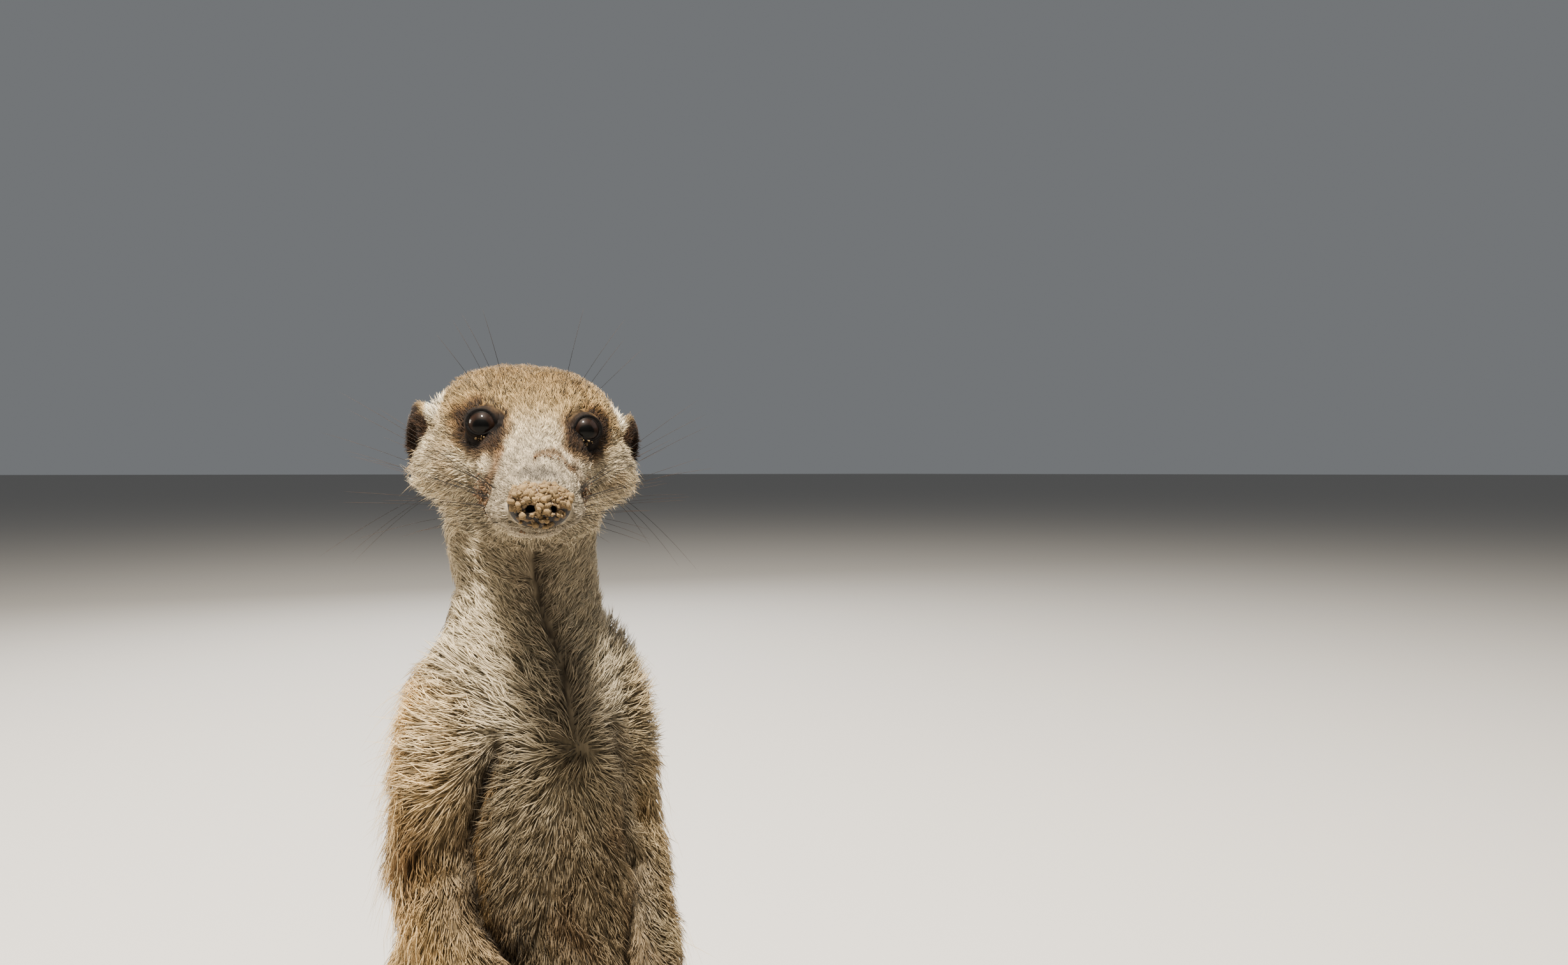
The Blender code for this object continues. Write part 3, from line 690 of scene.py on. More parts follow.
def face_colours(head, wander, fine):
    """The coat's colour on the head: cream, with a tan crown, grey above the nose and dark round the eyes."""
    x, y, z = head.T
    crown = smooth_step(-4, 8, z + 1.5 * wander) * smooth_step(-34, -20, y)
    face = np.tile(CREAM, (len(head), 1))
    face = mixed(face, CROWN, crown)
    face = mixed(face, TOP_OF_CROWN, crown * smooth_step(11, 23, z + 1.5 * fine) * 0.9)
    face = mixed(face, NAPE, smooth_step(12, 24, y))
    face = mixed(face, MUZZLE, smooth_step(-24, -36, y) * 0.8)
    face = mixed(face, ABOVE_NOSE, smooth_step(1.2, 0.4, spot(head, *ABOVE_NOSE_SPOT)) * 0.75)
    for side in SIDES.values():
        face = half_face_colours(face, head, side, wander, fine)
    arc = (x + 1) / 10.5
    off_arc = np.abs(z - bridge_arc(arc)) + 9 * (np.abs(arc - 0.5) > 0.55) + 9 * (y > -20)
    face = mixed(face, BRIDGE_EARTH, smooth_step(1.1, 0.3, off_arc + 0.35 * fine) * 0.8)
    return mixed(face, LIPS, bell(mouth_line(head), 1.1) * 0.95)


def marks_and_light(points, normals):
    """The coat's colour at points of the skin: soft masks of its markings and of painted light and shade."""
    on_head = in_head(points)
    wander = ripple(points, 18 * MM, 1)
    fine = ripple(points, 7 * MM, 2)
    colours = body_colours(points, normals, wander, fine)
    colours = towards(colours, face_colours(to_head(points), wander, fine), on_head[:, None])
    mm = points / MM
    front = smooth_step(0.15, 0.75, -normals[:, 1])
    parting = mm[:, 0] - np.interp(mm[:, 2], PARTING_HEIGHTS, PARTING)
    parting = np.abs(parting + 0.8 * ripple(points, 30 * MM, 5))
    throat = smooth_step(178, 196, mm[:, 2]) * smooth_step(258, 246, mm[:, 2]) * front * (1 - on_head)
    # Darker along the throat's parting and darkest in its furrow: the underfur that a parting shows, with
    # painted shade.
    colours = mixed(colours, PARTING_UNDERFUR_AND_SHADE, throat * smooth_step(9, 2, parting) * 0.5)
    colours = mixed(colours, DARK, throat * smooth_step(1.6, 0.5, parting) * 0.8)
    grey = colours.mean(axis=1, keepdims=True)
    deeper = np.clip(grey + DEPTH_OF_COLOUR * (colours - grey), 0.2 * colours, 1)
    return deeper * (0.86 + 0.05 * fine)[:, None]


def bare_places(points):
    """True where no hair grows: the nose, the lids, the mouth's line and the soles."""
    head = to_head(points)
    bare = spot(head, NOSE_PLACE, (8.6, 6.5, 6.4)) < 1
    bare |= (mouth_line(head) < 0.5) & (in_head(points) > 0.5)
    for side in SIDES.values():
        off = head - EYE_PLACES[side]
        bare |= (lid_ring(off) < 1) & (np.linalg.norm(off, axis=1) < 9) & (off[:, 1] < 2)
    return bare | (points[:, 2] < 1.0 * MM)


def painted(mesh, colours):
    """Gives a mesh the colour attribute that its material reads, with a colour for each point."""
    layer = mesh.attributes.new("coat_colour", "FLOAT_COLOR", "POINT")
    rows = np.ones((len(mesh.vertices), 4), np.float32)
    rows[:, :3] = np.clip(colours, 0, 1)
    layer.data.foreach_set("color", rows.ravel())


def shader_of(name, roughness, specular=0.5):
    """A new material, its node tree and its Principled shader."""
    material = bpy.data.materials.new(name)
    material.use_nodes = True
    shader = material.node_tree.nodes["Principled BSDF"]
    shader.inputs["Roughness"].default_value = roughness
    shader.inputs["Specular IOR Level"].default_value = specular
    return material, material.node_tree, shader


def painted_colour(tree):
    """The colour painted on the mesh, from its attribute."""
    colour = tree.nodes.new("ShaderNodeAttribute")
    colour.attribute_name = "coat_colour"
    return colour.outputs["Color"]


def noise(tree, scale, detail, stretch=(1, 1, 1)):
    """A noise texture on Object coordinates in metres, stretched by a Mapping node."""
    place = tree.nodes.new("ShaderNodeTexCoord")
    mapping = tree.nodes.new("ShaderNodeMapping")
    mapping.inputs["Scale"].default_value = stretch
    texture = tree.nodes.new("ShaderNodeTexNoise")
    texture.inputs["Scale"].default_value = scale
    texture.inputs["Detail"].default_value = detail
    tree.links.new(place.outputs["Object"], mapping.inputs["Vector"])
    tree.links.new(mapping.outputs["Vector"], texture.inputs["Vector"])
    return texture.outputs["Fac"]


def shaded_by(tree, colour, factor, low, high):
    """A colour multiplied by a grey that runs from low to high as the factor runs from 0.3 to 0.7."""
    span = tree.nodes.new("ShaderNodeMapRange")
    span.inputs["From Min"].default_value = 0.3
    span.inputs["From Max"].default_value = 0.7
    span.inputs["To Min"].default_value = low
    span.inputs["To Max"].default_value = high
    tree.links.new(factor, span.inputs["Value"])
    mix = tree.nodes.new("ShaderNodeMix")
    mix.data_type = "RGBA"
    mix.blend_type = "MULTIPLY"
    mix.inputs["Factor"].default_value = 1
    tree.links.new(colour, mix.inputs[6])
    tree.links.new(span.outputs["Result"], mix.inputs[7])
    return mix.outputs[2]


def bumped(tree, shader, height, distance, strength):
    """A Bump node from a height to the shader's normal."""
    bump = tree.nodes.new("ShaderNodeBump")
    bump.inputs["Distance"].default_value = distance
    bump.inputs["Strength"].default_value = strength
    tree.links.new(height, bump.inputs["Height"])
    tree.links.new(bump.outputs["Normal"], shader.inputs["Normal"])


def hide_material():
    """Skin under hair: the painted colour, streaked along the body, with a hairy bump and a dull finish."""
    material, tree, shader = shader_of("hide", 0.75, 0.06)
    streaks = noise(tree, 900, 3, (1, 1, 0.16))
    blotches = noise(tree, 160, 2)
    shade = shaded_by(tree, painted_colour(tree), streaks, 0.45, 0.95)
    shade = shaded_by(tree, shade, blotches, 0.9, 1.08)
    tree.links.new(shade, shader.inputs["Base Color"])
    bumped(tree, shader, streaks, 0.5 * MM, 0.5)
    return material


skin_points, skin_normals = points_of(skin_mesh)
thinly_covered = 0.5 + 0.5 * bare_places(skin_points)[:, None] + 0.2 * in_head(skin_points)[:, None]
painted(skin_mesh, marks_and_light(skin_points, skin_normals) * np.minimum(thinly_covered, 1))
finish_piece("skin", skin_mesh, hide_material(), "coat", *FLESH)

# Coat ---------------------------------------------------------------------------------------------
# Short hair over a woolly underfur. Each tuft is a solid three-sided spike, rooted in the skin, that
# rises, bends over and lies along the body, dark at its root and palest at its tip. Tufts are
# strewn by area, thickest on the face, and laid by the lines of the limbs and the whorl on the chest.

COAT_TUFTS = 150000
FATTER = 1.0
PATCH = 0.003  # a tuft's patch on the bake map


def sown(points, normals, faces, density, seed):
    """Roots strewn over the skin's faces in proportion to area and density, with their normals."""
    rng = np.random.default_rng(seed)
    corners = points[faces]
    areas = np.linalg.norm(np.cross(corners[:, 1] - corners[:, 0], corners[:, 2] - corners[:, 0]), axis=1) / 2
    weights = areas * density[faces].mean(axis=1)
    counts = (weights / weights.sum() * COAT_TUFTS + rng.random(len(faces))).astype(int)
    chosen = np.repeat(np.arange(len(faces)), counts)
    a, b = rng.random((2, len(chosen)))
    fold = a + b > 1
    a, b = np.where(fold, 1 - a, a)[:, None], np.where(fold, 1 - b, b)[:, None]
    shares = (1 - a - b, a, b)
    roots = sum(share * points[faces[chosen, k]] for k, share in enumerate(shares))
    return roots, unit(sum(share * normals[faces[chosen, k]] for k, share in enumerate(shares)))


def across(ways, normals):
    """Directions laid flat on the surface and brought to unit length."""
    return unit(ways - (ways * normals).sum(axis=1, keepdims=True) * normals)


def lie_of_coat(points, normals):
    """The direction in which the hair lies at each root, and the line of the body each root belongs to.

    On the chest and throat it runs away from the whorl and from the parting above it, on flanks and back
    down, on limbs and tail along them, and on the head back from the nose, round the eyes and outwards
    and down over the cheeks.
    """
    gaps, ways, places = along_lines(points)
    mm = points / MM
    front = smooth_step(-0.05, 0.5, -normals[:, 1])
    stray = np.stack([ripple(points, 13 * MM, seed) for seed in (6, 7, 8)], axis=1) * 3.2 * MM
    away = unit(points + stray - CHEST_WHORL)
    beside = mm[:, 0] - np.interp(mm[:, 2], PARTING_HEIGHTS, PARTING)
    part = np.exp(-np.abs(beside) / 10) * smooth_step(176, 196, mm[:, 2])
    away[:, 0] += np.sign(beside) * part * 1.1
    down = np.tile((0.0, 0.15, -1.0), (len(points), 1))
    body = down + (away * 1.6 - down) * front[:, None]
    shares = np.exp(-(gaps - gaps.min(axis=1, keepdims=True)) / (3 * MM))
    shares /= shares.sum(axis=1, keepdims=True)
    ways[:, 0] = unit(body)
    upper = smooth_step(150, 186, mm[:, 2]) * smooth_step(-0.2, 0.4, -normals[:, 1])
    for number, side in ((1, 1), (2, -1)):
        fore = smooth_step(0.3, 0.45, places[:, number]) * smooth_step(0.8, 0.6, places[:, number])
        limb = ways[:, number] + np.outer(fore, (0.45 * side, 0.3, -0.1))
        ways[:, number] = unit(limb + (body - limb) * upper[:, None])
    flow = (ways * shares[:, :, None]).sum(axis=1)
    outside, crease_depth = arm_creases(points)
    flow += np.outer(2.0 * bell(outside, 5) * crease_depth, (0, 0, -1))
    head = to_head(points)
    on_head = in_head(points)
    face = unit(head - NOSE_PLACE - (0, -4, 1))
    cheek = smooth_step(11, 22, np.abs(head[:, 0])) * smooth_step(6, -6, head[:, 2])
    face += cheek[:, None] * np.stack([0.5 * np.sign(head[:, 0]), 0 * cheek, -0.55 + 0 * cheek], axis=1)
    rear = smooth_step(6, 22, head[:, 1])
    face += rear[:, None] * np.array((0, 0.0, -0.9))
    for side in SIDES.values():
        off = head - EYE_PLACES[side]
        near = bell(np.linalg.norm(off, axis=1), 9.5)
        face += near[:, None] * unit(off) * 0.9
    flow = flow + (face @ HEAD_AXES - flow) * on_head[:, None]
    labels = np.where(on_head > 0.5, len(LINES), gaps.argmin(axis=1))
    return across(flow, normals), labels, places


# Places along a limb or the tail, the hair's length and the rise of its tips there, and its cover.
LIMB_STOPS = (0, 0.3, 0.62, 0.8, 1)
ARM_HAIR = (LIMB_STOPS, (9.5, 10.5, 7, 3, 1.7), (2.6, 3, 1.7, 0.8, 0.4), 2.0)
LEG_HAIR = (LIMB_STOPS, (10, 8.5, 4, 2.2, 1.5), (2.6, 2.2, 0.9, 0.4, 0.3), 1.4)
TAIL_HAIR = ((0, 0.5, 1), (8.5, 6, 6), (2.2, 1.2, 0.8), 1.5)
LIMB_HAIR = {1: ARM_HAIR, 2: ARM_HAIR, 3: LEG_HAIR, 4: LEG_HAIR, 5: TAIL_HAIR}  # by the line's number


def groom(points, normals, labels, places):
    """Each root's hair length, full width, rise of the tip and cover, in millimetres.

    Cover is how many hairs deep the coat is. Each comes from the region, with soft steps between.
    """
    mm = points / MM
    front = smooth_step(-0.1, 0.6, -normals[:, 1])
    neck = smooth_step(206, 226, mm[:, 2])
    length = (8.8 - 0.5 * front) * (1 - 0.35 * neck)
    rise = (2.6 - 0.4 * front) * (1 - 0.5 * neck)
    cover = 1.3 + 0.9 * front * smooth_step(70, 110, mm[:, 2])
    for number, (stops, lengths, rises, limb_cover) in LIMB_HAIR.items():
        mine = labels == number
        length = np.where(mine, np.interp(places[:, number], stops, lengths), length)
        rise = np.where(mine, np.interp(places[:, number], stops, rises), rise)
        cover = np.where(mine, limb_cover, cover)
    head = to_head(points)
    on_head = in_head(points)
    x = np.abs(head[:, 0])
    face_length = 3.9 - 2.1 * smooth_step(-14, -34, head[:, 1])
    face_rise = 1.15 - 0.7 * smooth_step(-14, -34, head[:, 1])
    cheek = smooth_step(14, 24, x) * smooth_step(5, -5, head[:, 2]) * smooth_step(-14, -2, head[:, 1])
    before_ear = smooth_step(27, 31, x) * smooth_step(-12, -6, head[:, 2])
    face_length = towards(face_length, 8.2 - 3.5 * before_ear, cheek)
    face_rise = towards(face_rise, 2.3 - 1.5 * before_ear, cheek)
    ear_tuft = spot(np.abs(head), (29, 5, 8), (5, 6, 6))
    ear_tuft = smooth_step(1.2, 0.5, ear_tuft) * (head[:, 2] > 3)
    face_length = towards(face_length, 5.0, ear_tuft)
    face_rise = towards(face_rise, 2.2, ear_tuft)
    ear = np.linalg.norm((head - np.sign(head) * (1, 0, 0) * 33.5 - (0, 9.5, -3.5)) / (5.8, 11, 14.5), axis=1)
    ear = smooth_step(1.15, 0.95, ear)
    face_length = towards(face_length, 2.2, ear)
    face_rise = towards(face_rise, 0.5, ear)
    nape = smooth_step(8, 24, head[:, 1])
    face_length = face_length + (6.5 - face_length) * nape * (1 - ear)
    length = towards(length, face_length, on_head)
    rise = towards(rise, face_rise, on_head)
    cover = towards(cover, 1.9, on_head)
    outside, crease_depth = arm_creases(points)
    crease = bell(outside, 4) * crease_depth * (1 - on_head)
    length = length * (1 - 0.45 * crease)
    rise = rise * (1 - 0.75 * crease)
    width = (0.17 - 0.04 * on_head + 0.032 * length) * FATTER
    return length, width, rise, cover


def strands(roots, normals, ways, lengths, widths, rises, bends, shares, sides):
    """Points and faces of tapering spikes, and each point's spike, share of length and turn.

    At the share t of its length a spike's middle is root + way L t + normal R (2t - t^2) + bend t^2, and
    its half width is W/2 (1 - t)^0.55. The first ring is sunk in the skin, the tip is one point, and
    nothing goes below the floor.
    """
    aside = np.cross(normals, ways)
    turns = np.arange(sides) * 2 * np.pi / sides + np.pi / 2
    rings = []
    for share in shares:
        middle = roots + ways * (lengths * share)[:, None]
        middle = middle + normals * (rises * (2 * share - share**2) - 0.35 * MM * (share == 0))[:, None]
        middle = middle + bends * share**2
        half = (widths / 2 * (1 - share) ** 0.55)[:, None]
        for turn in turns:
            rings.append(middle + half * (np.cos(turn) * aside + 0.8 * np.sin(turn) * normals))
    tips = roots + ways * lengths[:, None] + normals * rises[:, None] + bends
    points = np.stack([*rings, tips], axis=1)
    points[:, :, 2] = np.maximum(points[:, :, 2], 0.1 * MM)
    count = points.shape[1]
    pattern = []
    for ring in range(len(shares) - 1):
        for k in range(sides):
            a, b = ring * sides + k, ring * sides + (k + 1) % sides
            pattern += [(a, b, b + sides), (a, b + sides, a + sides)]
    last = (len(shares) - 1) * sides
    pattern += [(last + k, last + (k + 1) % sides, count - 1) for k in range(sides)]
    faces = (np.array(pattern)[None] + (np.arange(len(roots)) * count)[:, None, None]).reshape(-1, 3)
    steps = np.append(np.repeat(shares, sides), 1.0)
    corner_turns = np.append(np.tile(np.arange(sides) / sides, len(shares)), 0.5)
    return points, faces, steps, corner_turns


def bake_map(mesh, faces, charts, steps, corner_turns):
    """The OFBake map: each strand is one small patch at its root's place on the skin's own unwrap."""
    patch = np.stack([corner_turns, steps], axis=1) * PATCH
    places = (charts[:, None] * (1 - PATCH) + patch[None]).reshape(-1, 2)
    layer = mesh.uv_layers.new(name="OFBake")
    layer.data.foreach_set("uv", places[faces.ravel()].astype(np.float32).ravel())


def skin_chart(points, labels, places):
    """Each root's place on the unwrap of its part of the skin: its turn about the line, its place along."""
    around = np.zeros(len(points))
    along = np.zeros(len(points))
    for number, rows in enumerate(LINES.values()):
        mine = labels == number
        line = smooth_line(rows, LINE_POINTS)[:, :3]
        step = places[mine, number] * (LINE_POINTS - 1)
        middle = np.stack([np.interp(step, np.arange(LINE_POINTS), line[:, k]) for k in range(3)], 1)
        off = points[mine] - middle
        upright = abs(line[-1, 2] - line[0, 2]) > abs(line[-1, 1] - line[0, 1])
        around[mine] = np.arctan2(off[:, 0], off[:, 1] if upright else off[:, 2])
        along[mine] = places[mine, number]
    mine = labels == len(LINES)
    head = to_head(points[mine])
    around[mine] = np.arctan2(head[:, 0], head[:, 2])
    along[mine] = np.clip((head[:, 1] + 56) / 92, 0, 1)
    return np.stack([around / (2 * np.pi) + 0.5, along], axis=1)


def hair_material():
    """Dry hair: the painted colour, varied along and between tufts, with a faint sheen."""
    material, tree, shader = shader_of("coat_hair", 0.6, 0.12)
    fine = noise(tree, 1400, 2)
    broad = noise(tree, 120, 3)
    shade = shaded_by(tree, painted_colour(tree), fine, 0.86, 1.1)
    shade = shaded_by(tree, shade, broad, 0.93, 1.06)
    tree.links.new(shade, shader.inputs["Base Color"])
    shader.inputs["Sheen Weight"].default_value = 0.02
    shader.inputs["Sheen Roughness"].default_value = 0.5
    return material


coat_finish = hair_material()
faces = faces_of(skin_mesh)
point_labels, point_places = lie_of_coat(skin_points, skin_normals)[1:]
length, width, rise, cover = groom(skin_points, skin_normals, point_labels, point_places)
density = cover / (length * width) * ~bare_places(skin_points)
roots, root_normals = sown(skin_points, skin_normals, faces, density, 11)
kept = ~bare_places(roots)
roots, root_normals = roots[kept], root_normals[kept]
flow, labels, places = lie_of_coat(roots, root_normals)
length, width, rise, cover = groom(roots, root_normals, labels, places)
tuft_rng = np.random.default_rng(12)
count = len(roots)
swing = 0.30 * ripple(roots, 5 * MM, 21) + 0.16 * ripple(roots, 11 * MM, 22) + tuft_rng.normal(0, 0.16, count)
aside = np.cross(root_normals, flow)
flow = unit(flow * np.cos(swing)[:, None] + aside * np.sin(swing)[:, None])
length *= tuft_rng.uniform(0.72, 1.18, count)
rise *= tuft_rng.uniform(0.45, 1.35, count) * (1 + 0.25 * ripple(roots, 6 * MM, 23))
bends = np.cross(root_normals, flow) * (length * tuft_rng.normal(0, 0.12, count))[:, None]
on_head = labels == len(LINES)
flecked = tuft_rng.random(count) < 0.14 + 0.18 * on_head
shade = tuft_rng.normal(1.0, 0.14 + 0.12 * on_head, count) * np.where(flecked, 0.32, 1.0)
shade *= 1 + (0.08 + 0.22 * on_head) * ripple(roots, 2.6 * MM, 24)
shade = shade.clip(0.25, 1.7)
tone = marks_and_light(roots, root_normals) * shade[:, None]
tip_tone = marks_and_light(roots + flow * (0.8 * length * MM)[:, None], root_normals) * shade[:, None]
tip_tone[on_head] = tone[on_head]
charts = skin_chart(roots, labels, places)
# Where the coat is divided into pieces: heights in metres, and places in the head's frame.
SHOULDER_HEIGHT = 0.205
MUZZLE_END = -24
FACE_END = -6
CROWN_HEIGHT = 2
front_side = root_normals[:, 1] < 0
height = roots[:, 2]
head_roots = to_head(roots)
PIECES = {
    "coat_muzzle": on_head & (head_roots[:, 1] < MUZZLE_END),
    "coat_face": on_head & (head_roots[:, 1] >= MUZZLE_END) & (head_roots[:, 1] < FACE_END),
    "coat_crown": on_head & (head_roots[:, 1] >= FACE_END) & (head_roots[:, 2] > CROWN_HEIGHT),
    "coat_cheeks": on_head & (head_roots[:, 1] >= FACE_END) & (head_roots[:, 2] <= CROWN_HEIGHT),
    "coat_neck": (labels == 0) & (height > SHOULDER_HEIGHT),
    "coat_chest": (labels == 0) & (height <= SHOULDER_HEIGHT) & front_side,
    "coat_back": (labels == 0) & (height <= SHOULDER_HEIGHT) & ~front_side,
    "coat_arm_left": labels == 1,
    "coat_arm_right": labels == 2,
    "coat_leg_left": labels == 3,
    "coat_leg_right": labels == 4,
    "coat_tail": labels == 5,
}
BANDS = np.array((0.16, 0.86, 1.28))  # a tuft's brightness at its root, middle and tip
for name, mine in PIECES.items():
    tufts, tuft_faces, steps, corner_turns = strands(
        roots[mine],
        root_normals[mine],
        flow[mine],
        length[mine] * MM,
        width[mine] * MM,
        rise[mine] * MM,
        bends[mine] * MM,
        (0.0, 0.5),
        3,
    )
    mesh = mesh_of(name, tufts.reshape(-1, 3), tuft_faces)
    bands = np.interp(steps, (0, 0.5, 1), BANDS)
    along = tone[mine][:, None] + (tip_tone - tone)[mine][:, None] * steps[None, :, None]
    painted(mesh, (along * bands[None, :, None]).reshape(-1, 3))
    bake_map(mesh, tuft_faces, charts[mine], steps, corner_turns)
    finish_piece(name, mesh, coat_finish, "coat")

# Guard hairs --------------------------------------------------------------------------------------
# Long, thin, yellowish hairs that stand out of the coat on the flanks and arms, with a few on the back,
# and shorter ones that fringe the cheeks. They are made as the tufts are, with more rings.

GUARD_HAIRS = 2600
hair_rng = np.random.default_rng(61)
sideways = np.abs(root_normals[:, 0])
flanks = smooth_step(-0.2, 0.3, root_normals[:, 1] + 0.5 * sideways) * (height > 0.075) * ~on_head
flanks *= 0.08 + smooth_step(0.45, 0.9, sideways)
flanks *= (labels < 3) * (height < SHOULDER_HEIGHT)
outside, crease_depth = arm_creases(roots)
flanks *= 1 - crease_depth * (np.abs(outside) < 16)
fringe = smooth_step(15, 22, np.abs(head_roots[:, 0])) * smooth_step(-2, -10, head_roots[:, 2]) * on_head
fringe *= smooth_step(-20, -10, head_roots[:, 1]) * smooth_step(9, 3, head_roots[:, 1])
likely = flanks / flanks.sum() * 0.88 + fringe / fringe.sum() * 0.12
picked = hair_rng.choice(count, GUARD_HAIRS, replace=False, p=likely)
guard_length = hair_rng.uniform(11, 19, GUARD_HAIRS) * np.where(on_head[picked], 0.5, 1.0) * MM
guard_hairs, guard_faces, steps, corner_turns = strands(
    roots[picked],
    root_normals[picked],
    flow[picked],
    guard_length,
    np.full(GUARD_HAIRS, 0.18 * MM * FATTER),
    guard_length * hair_rng.uniform(0.16, 0.42, GUARD_HAIRS) * np.where(on_head[picked], 0.6, 1.0),
    hair_rng.normal(0, 1.2 * MM, (GUARD_HAIRS, 3)) - (0, 0, 1.5 * MM),
    (0.0, 0.3, 0.65),
    3,
)
mesh = mesh_of("guard_hairs", guard_hairs.reshape(-1, 3), guard_faces)
pale = mixed(tone[picked], tint(216, 188, 140), np.full(GUARD_HAIRS, 0.6))
painted(mesh, (pale[:, None] * np.interp(steps, (0, 0.3, 1), (0.5, 1.0, 1.1))[None, :, None]).reshape(-1, 3))
bake_map(mesh, guard_faces, charts[picked], steps, corner_turns)
finish_piece("guard_hairs", mesh, coat_finish, "coat")

# Eyes ---------------------------------------------------------------------------------------------
# Wet, dark brown balls with a wide pupil and a darker rim, set behind the lids. Each is a grid of rings
# about its line of sight, swelling a little in front as the cornea does.

GAZE = unit(np.array((-0.06, -0.99, 0.06)))
IRIS = 47  # half its width, in degrees at the ball's middle
PUPIL_WIDTH = 24
PUPIL_HEIGHT = 19
EYE_GRID = (72, 96)  # rings, and points in each


def ball_angles(first, last, rings, turns):
    """Each point's angle from a ball's pole, in degrees, and its turn, for rings between two pole points."""
    angle = np.concatenate([[0], np.repeat(np.linspace(first, last, rings), turns), [180]])
    return angle, np.concatenate([[0], np.tile(np.arange(turns) * 2 * np.pi / turns, rings), [0]])


def polar_grid(rings, turns):
    """Faces of a closed ball of rings of points, with a pole point before and after.

    They face outwards where the turns run anticlockwise as seen from outside the first pole.
    """
    ring = np.arange(rings - 1)[:, None] * turns + 1
    k = np.arange(turns)[None]
    after = (k + 1) % turns
    a, b, c, d = ring + k, ring + after, ring + turns + after, ring + turns + k
    sides = np.stack([np.stack([a, b, c], -1), np.stack([a, c, d], -1)]).reshape(-1, 3)
    last = 1 + (rings - 1) * turns
    here = np.arange(turns)
    beside = (here + 1) % turns
    front = np.stack([np.zeros(turns, int), 1 + beside, 1 + here], 1)
    rear = np.stack([np.full(turns, last + turns), last + here, last + beside], 1)
    return np.vstack([front, sides, rear])[:, ::-1]


def eye_ball(side):
    """Points of one eye, and the angle of each from the line of sight and its turn about it."""
    angle, turn = ball_angles(2, 178, *EYE_GRID)
    sight = unit(GAZE + (0.12 * side, 0, 0))
    level = unit(np.cross((0, 0, 1), sight))
    above = np.cross(sight, level)
    radius = EYE_RADIUS + 0.28 * np.exp(-((angle / 36) ** 4))
    way = turned(np.radians(angle), turn, sight, level, above)
    return from_head(EYE_PLACES[side] + way * radius[:, None]), angle, turn


def eye_colours(angle, turn):
    """Black oval pupil, brown iris with paler fibres towards its rim, dark ring, and dark ball beyond."""
    pupil = angle * np.sqrt((np.cos(turn) / PUPIL_WIDTH) ** 2 + (np.sin(turn) / PUPIL_HEIGHT) ** 2)
    fibres = 0.5 + 0.5 * np.sin(turn * 47 + 3 * np.sin(turn * 9)) * np.sin(turn * 31 + 1)
    iris = tint(11, 6, 4) + np.outer(smooth_step(14, 36, angle) * (0.4 + 0.6 * fibres), tint(23, 12, 7))
    colours = mixed(iris, tint(5, 4, 3), smooth_step(IRIS - 7, IRIS, angle))
    colours = mixed(colours, tint(20, 15, 13), smooth_step(IRIS + 1, IRIS + 6, angle))
    return mixed(colours, tint(1, 1, 1), smooth_step(1.08, 0.92, pupil))


def eye_material():
    """A wet eye: painted iris and pupil under a clear glossy coat."""
    material, tree, shader = shader_of("eye_wet", 0.5, 0.05)
    shade = shaded_by(tree, painted_colour(tree), noise(tree, 2600, 2), 0.8, 1.15)
    tree.links.new(shade, shader.inputs["Base Color"])
    shader.inputs["Coat Weight"].default_value = 0.25
    shader.inputs["Coat Roughness"].default_value = 0.02
    shader.inputs["Coat IOR"].default_value = 1.38
    return material


eye_finish = eye_material()
for name, side in SIDES.items():
    ball, angle, turn = eye_ball(side)
    mesh = mesh_of(f"eyeball_{name}", ball, polar_grid(*EYE_GRID))
    painted(mesh, eye_colours(angle, turn))
    finish_piece(f"eyeball_{name}", mesh, eye_finish, "eye", f"eye_{name}")

# Nose ---------------------------------------------------------------------------------------------
# A broad leathery pad, blunt in front, with two round nostrils that run out in a slit, a groove below
# between them, and a thin rim. Dry sand crusts its upper half. Loose crumbs of sand lie on it and under
# the eyes, and crumbs of earth on the bridge, the cheeks and the lips.

PAD = (8.4, 5.4, 5.9)  # half width, depth and height
PAD_GRID = (110, 140)  # rings, and points in each
NOSTRIL = (2.7, -0.1)  # beside and above the pad's middle


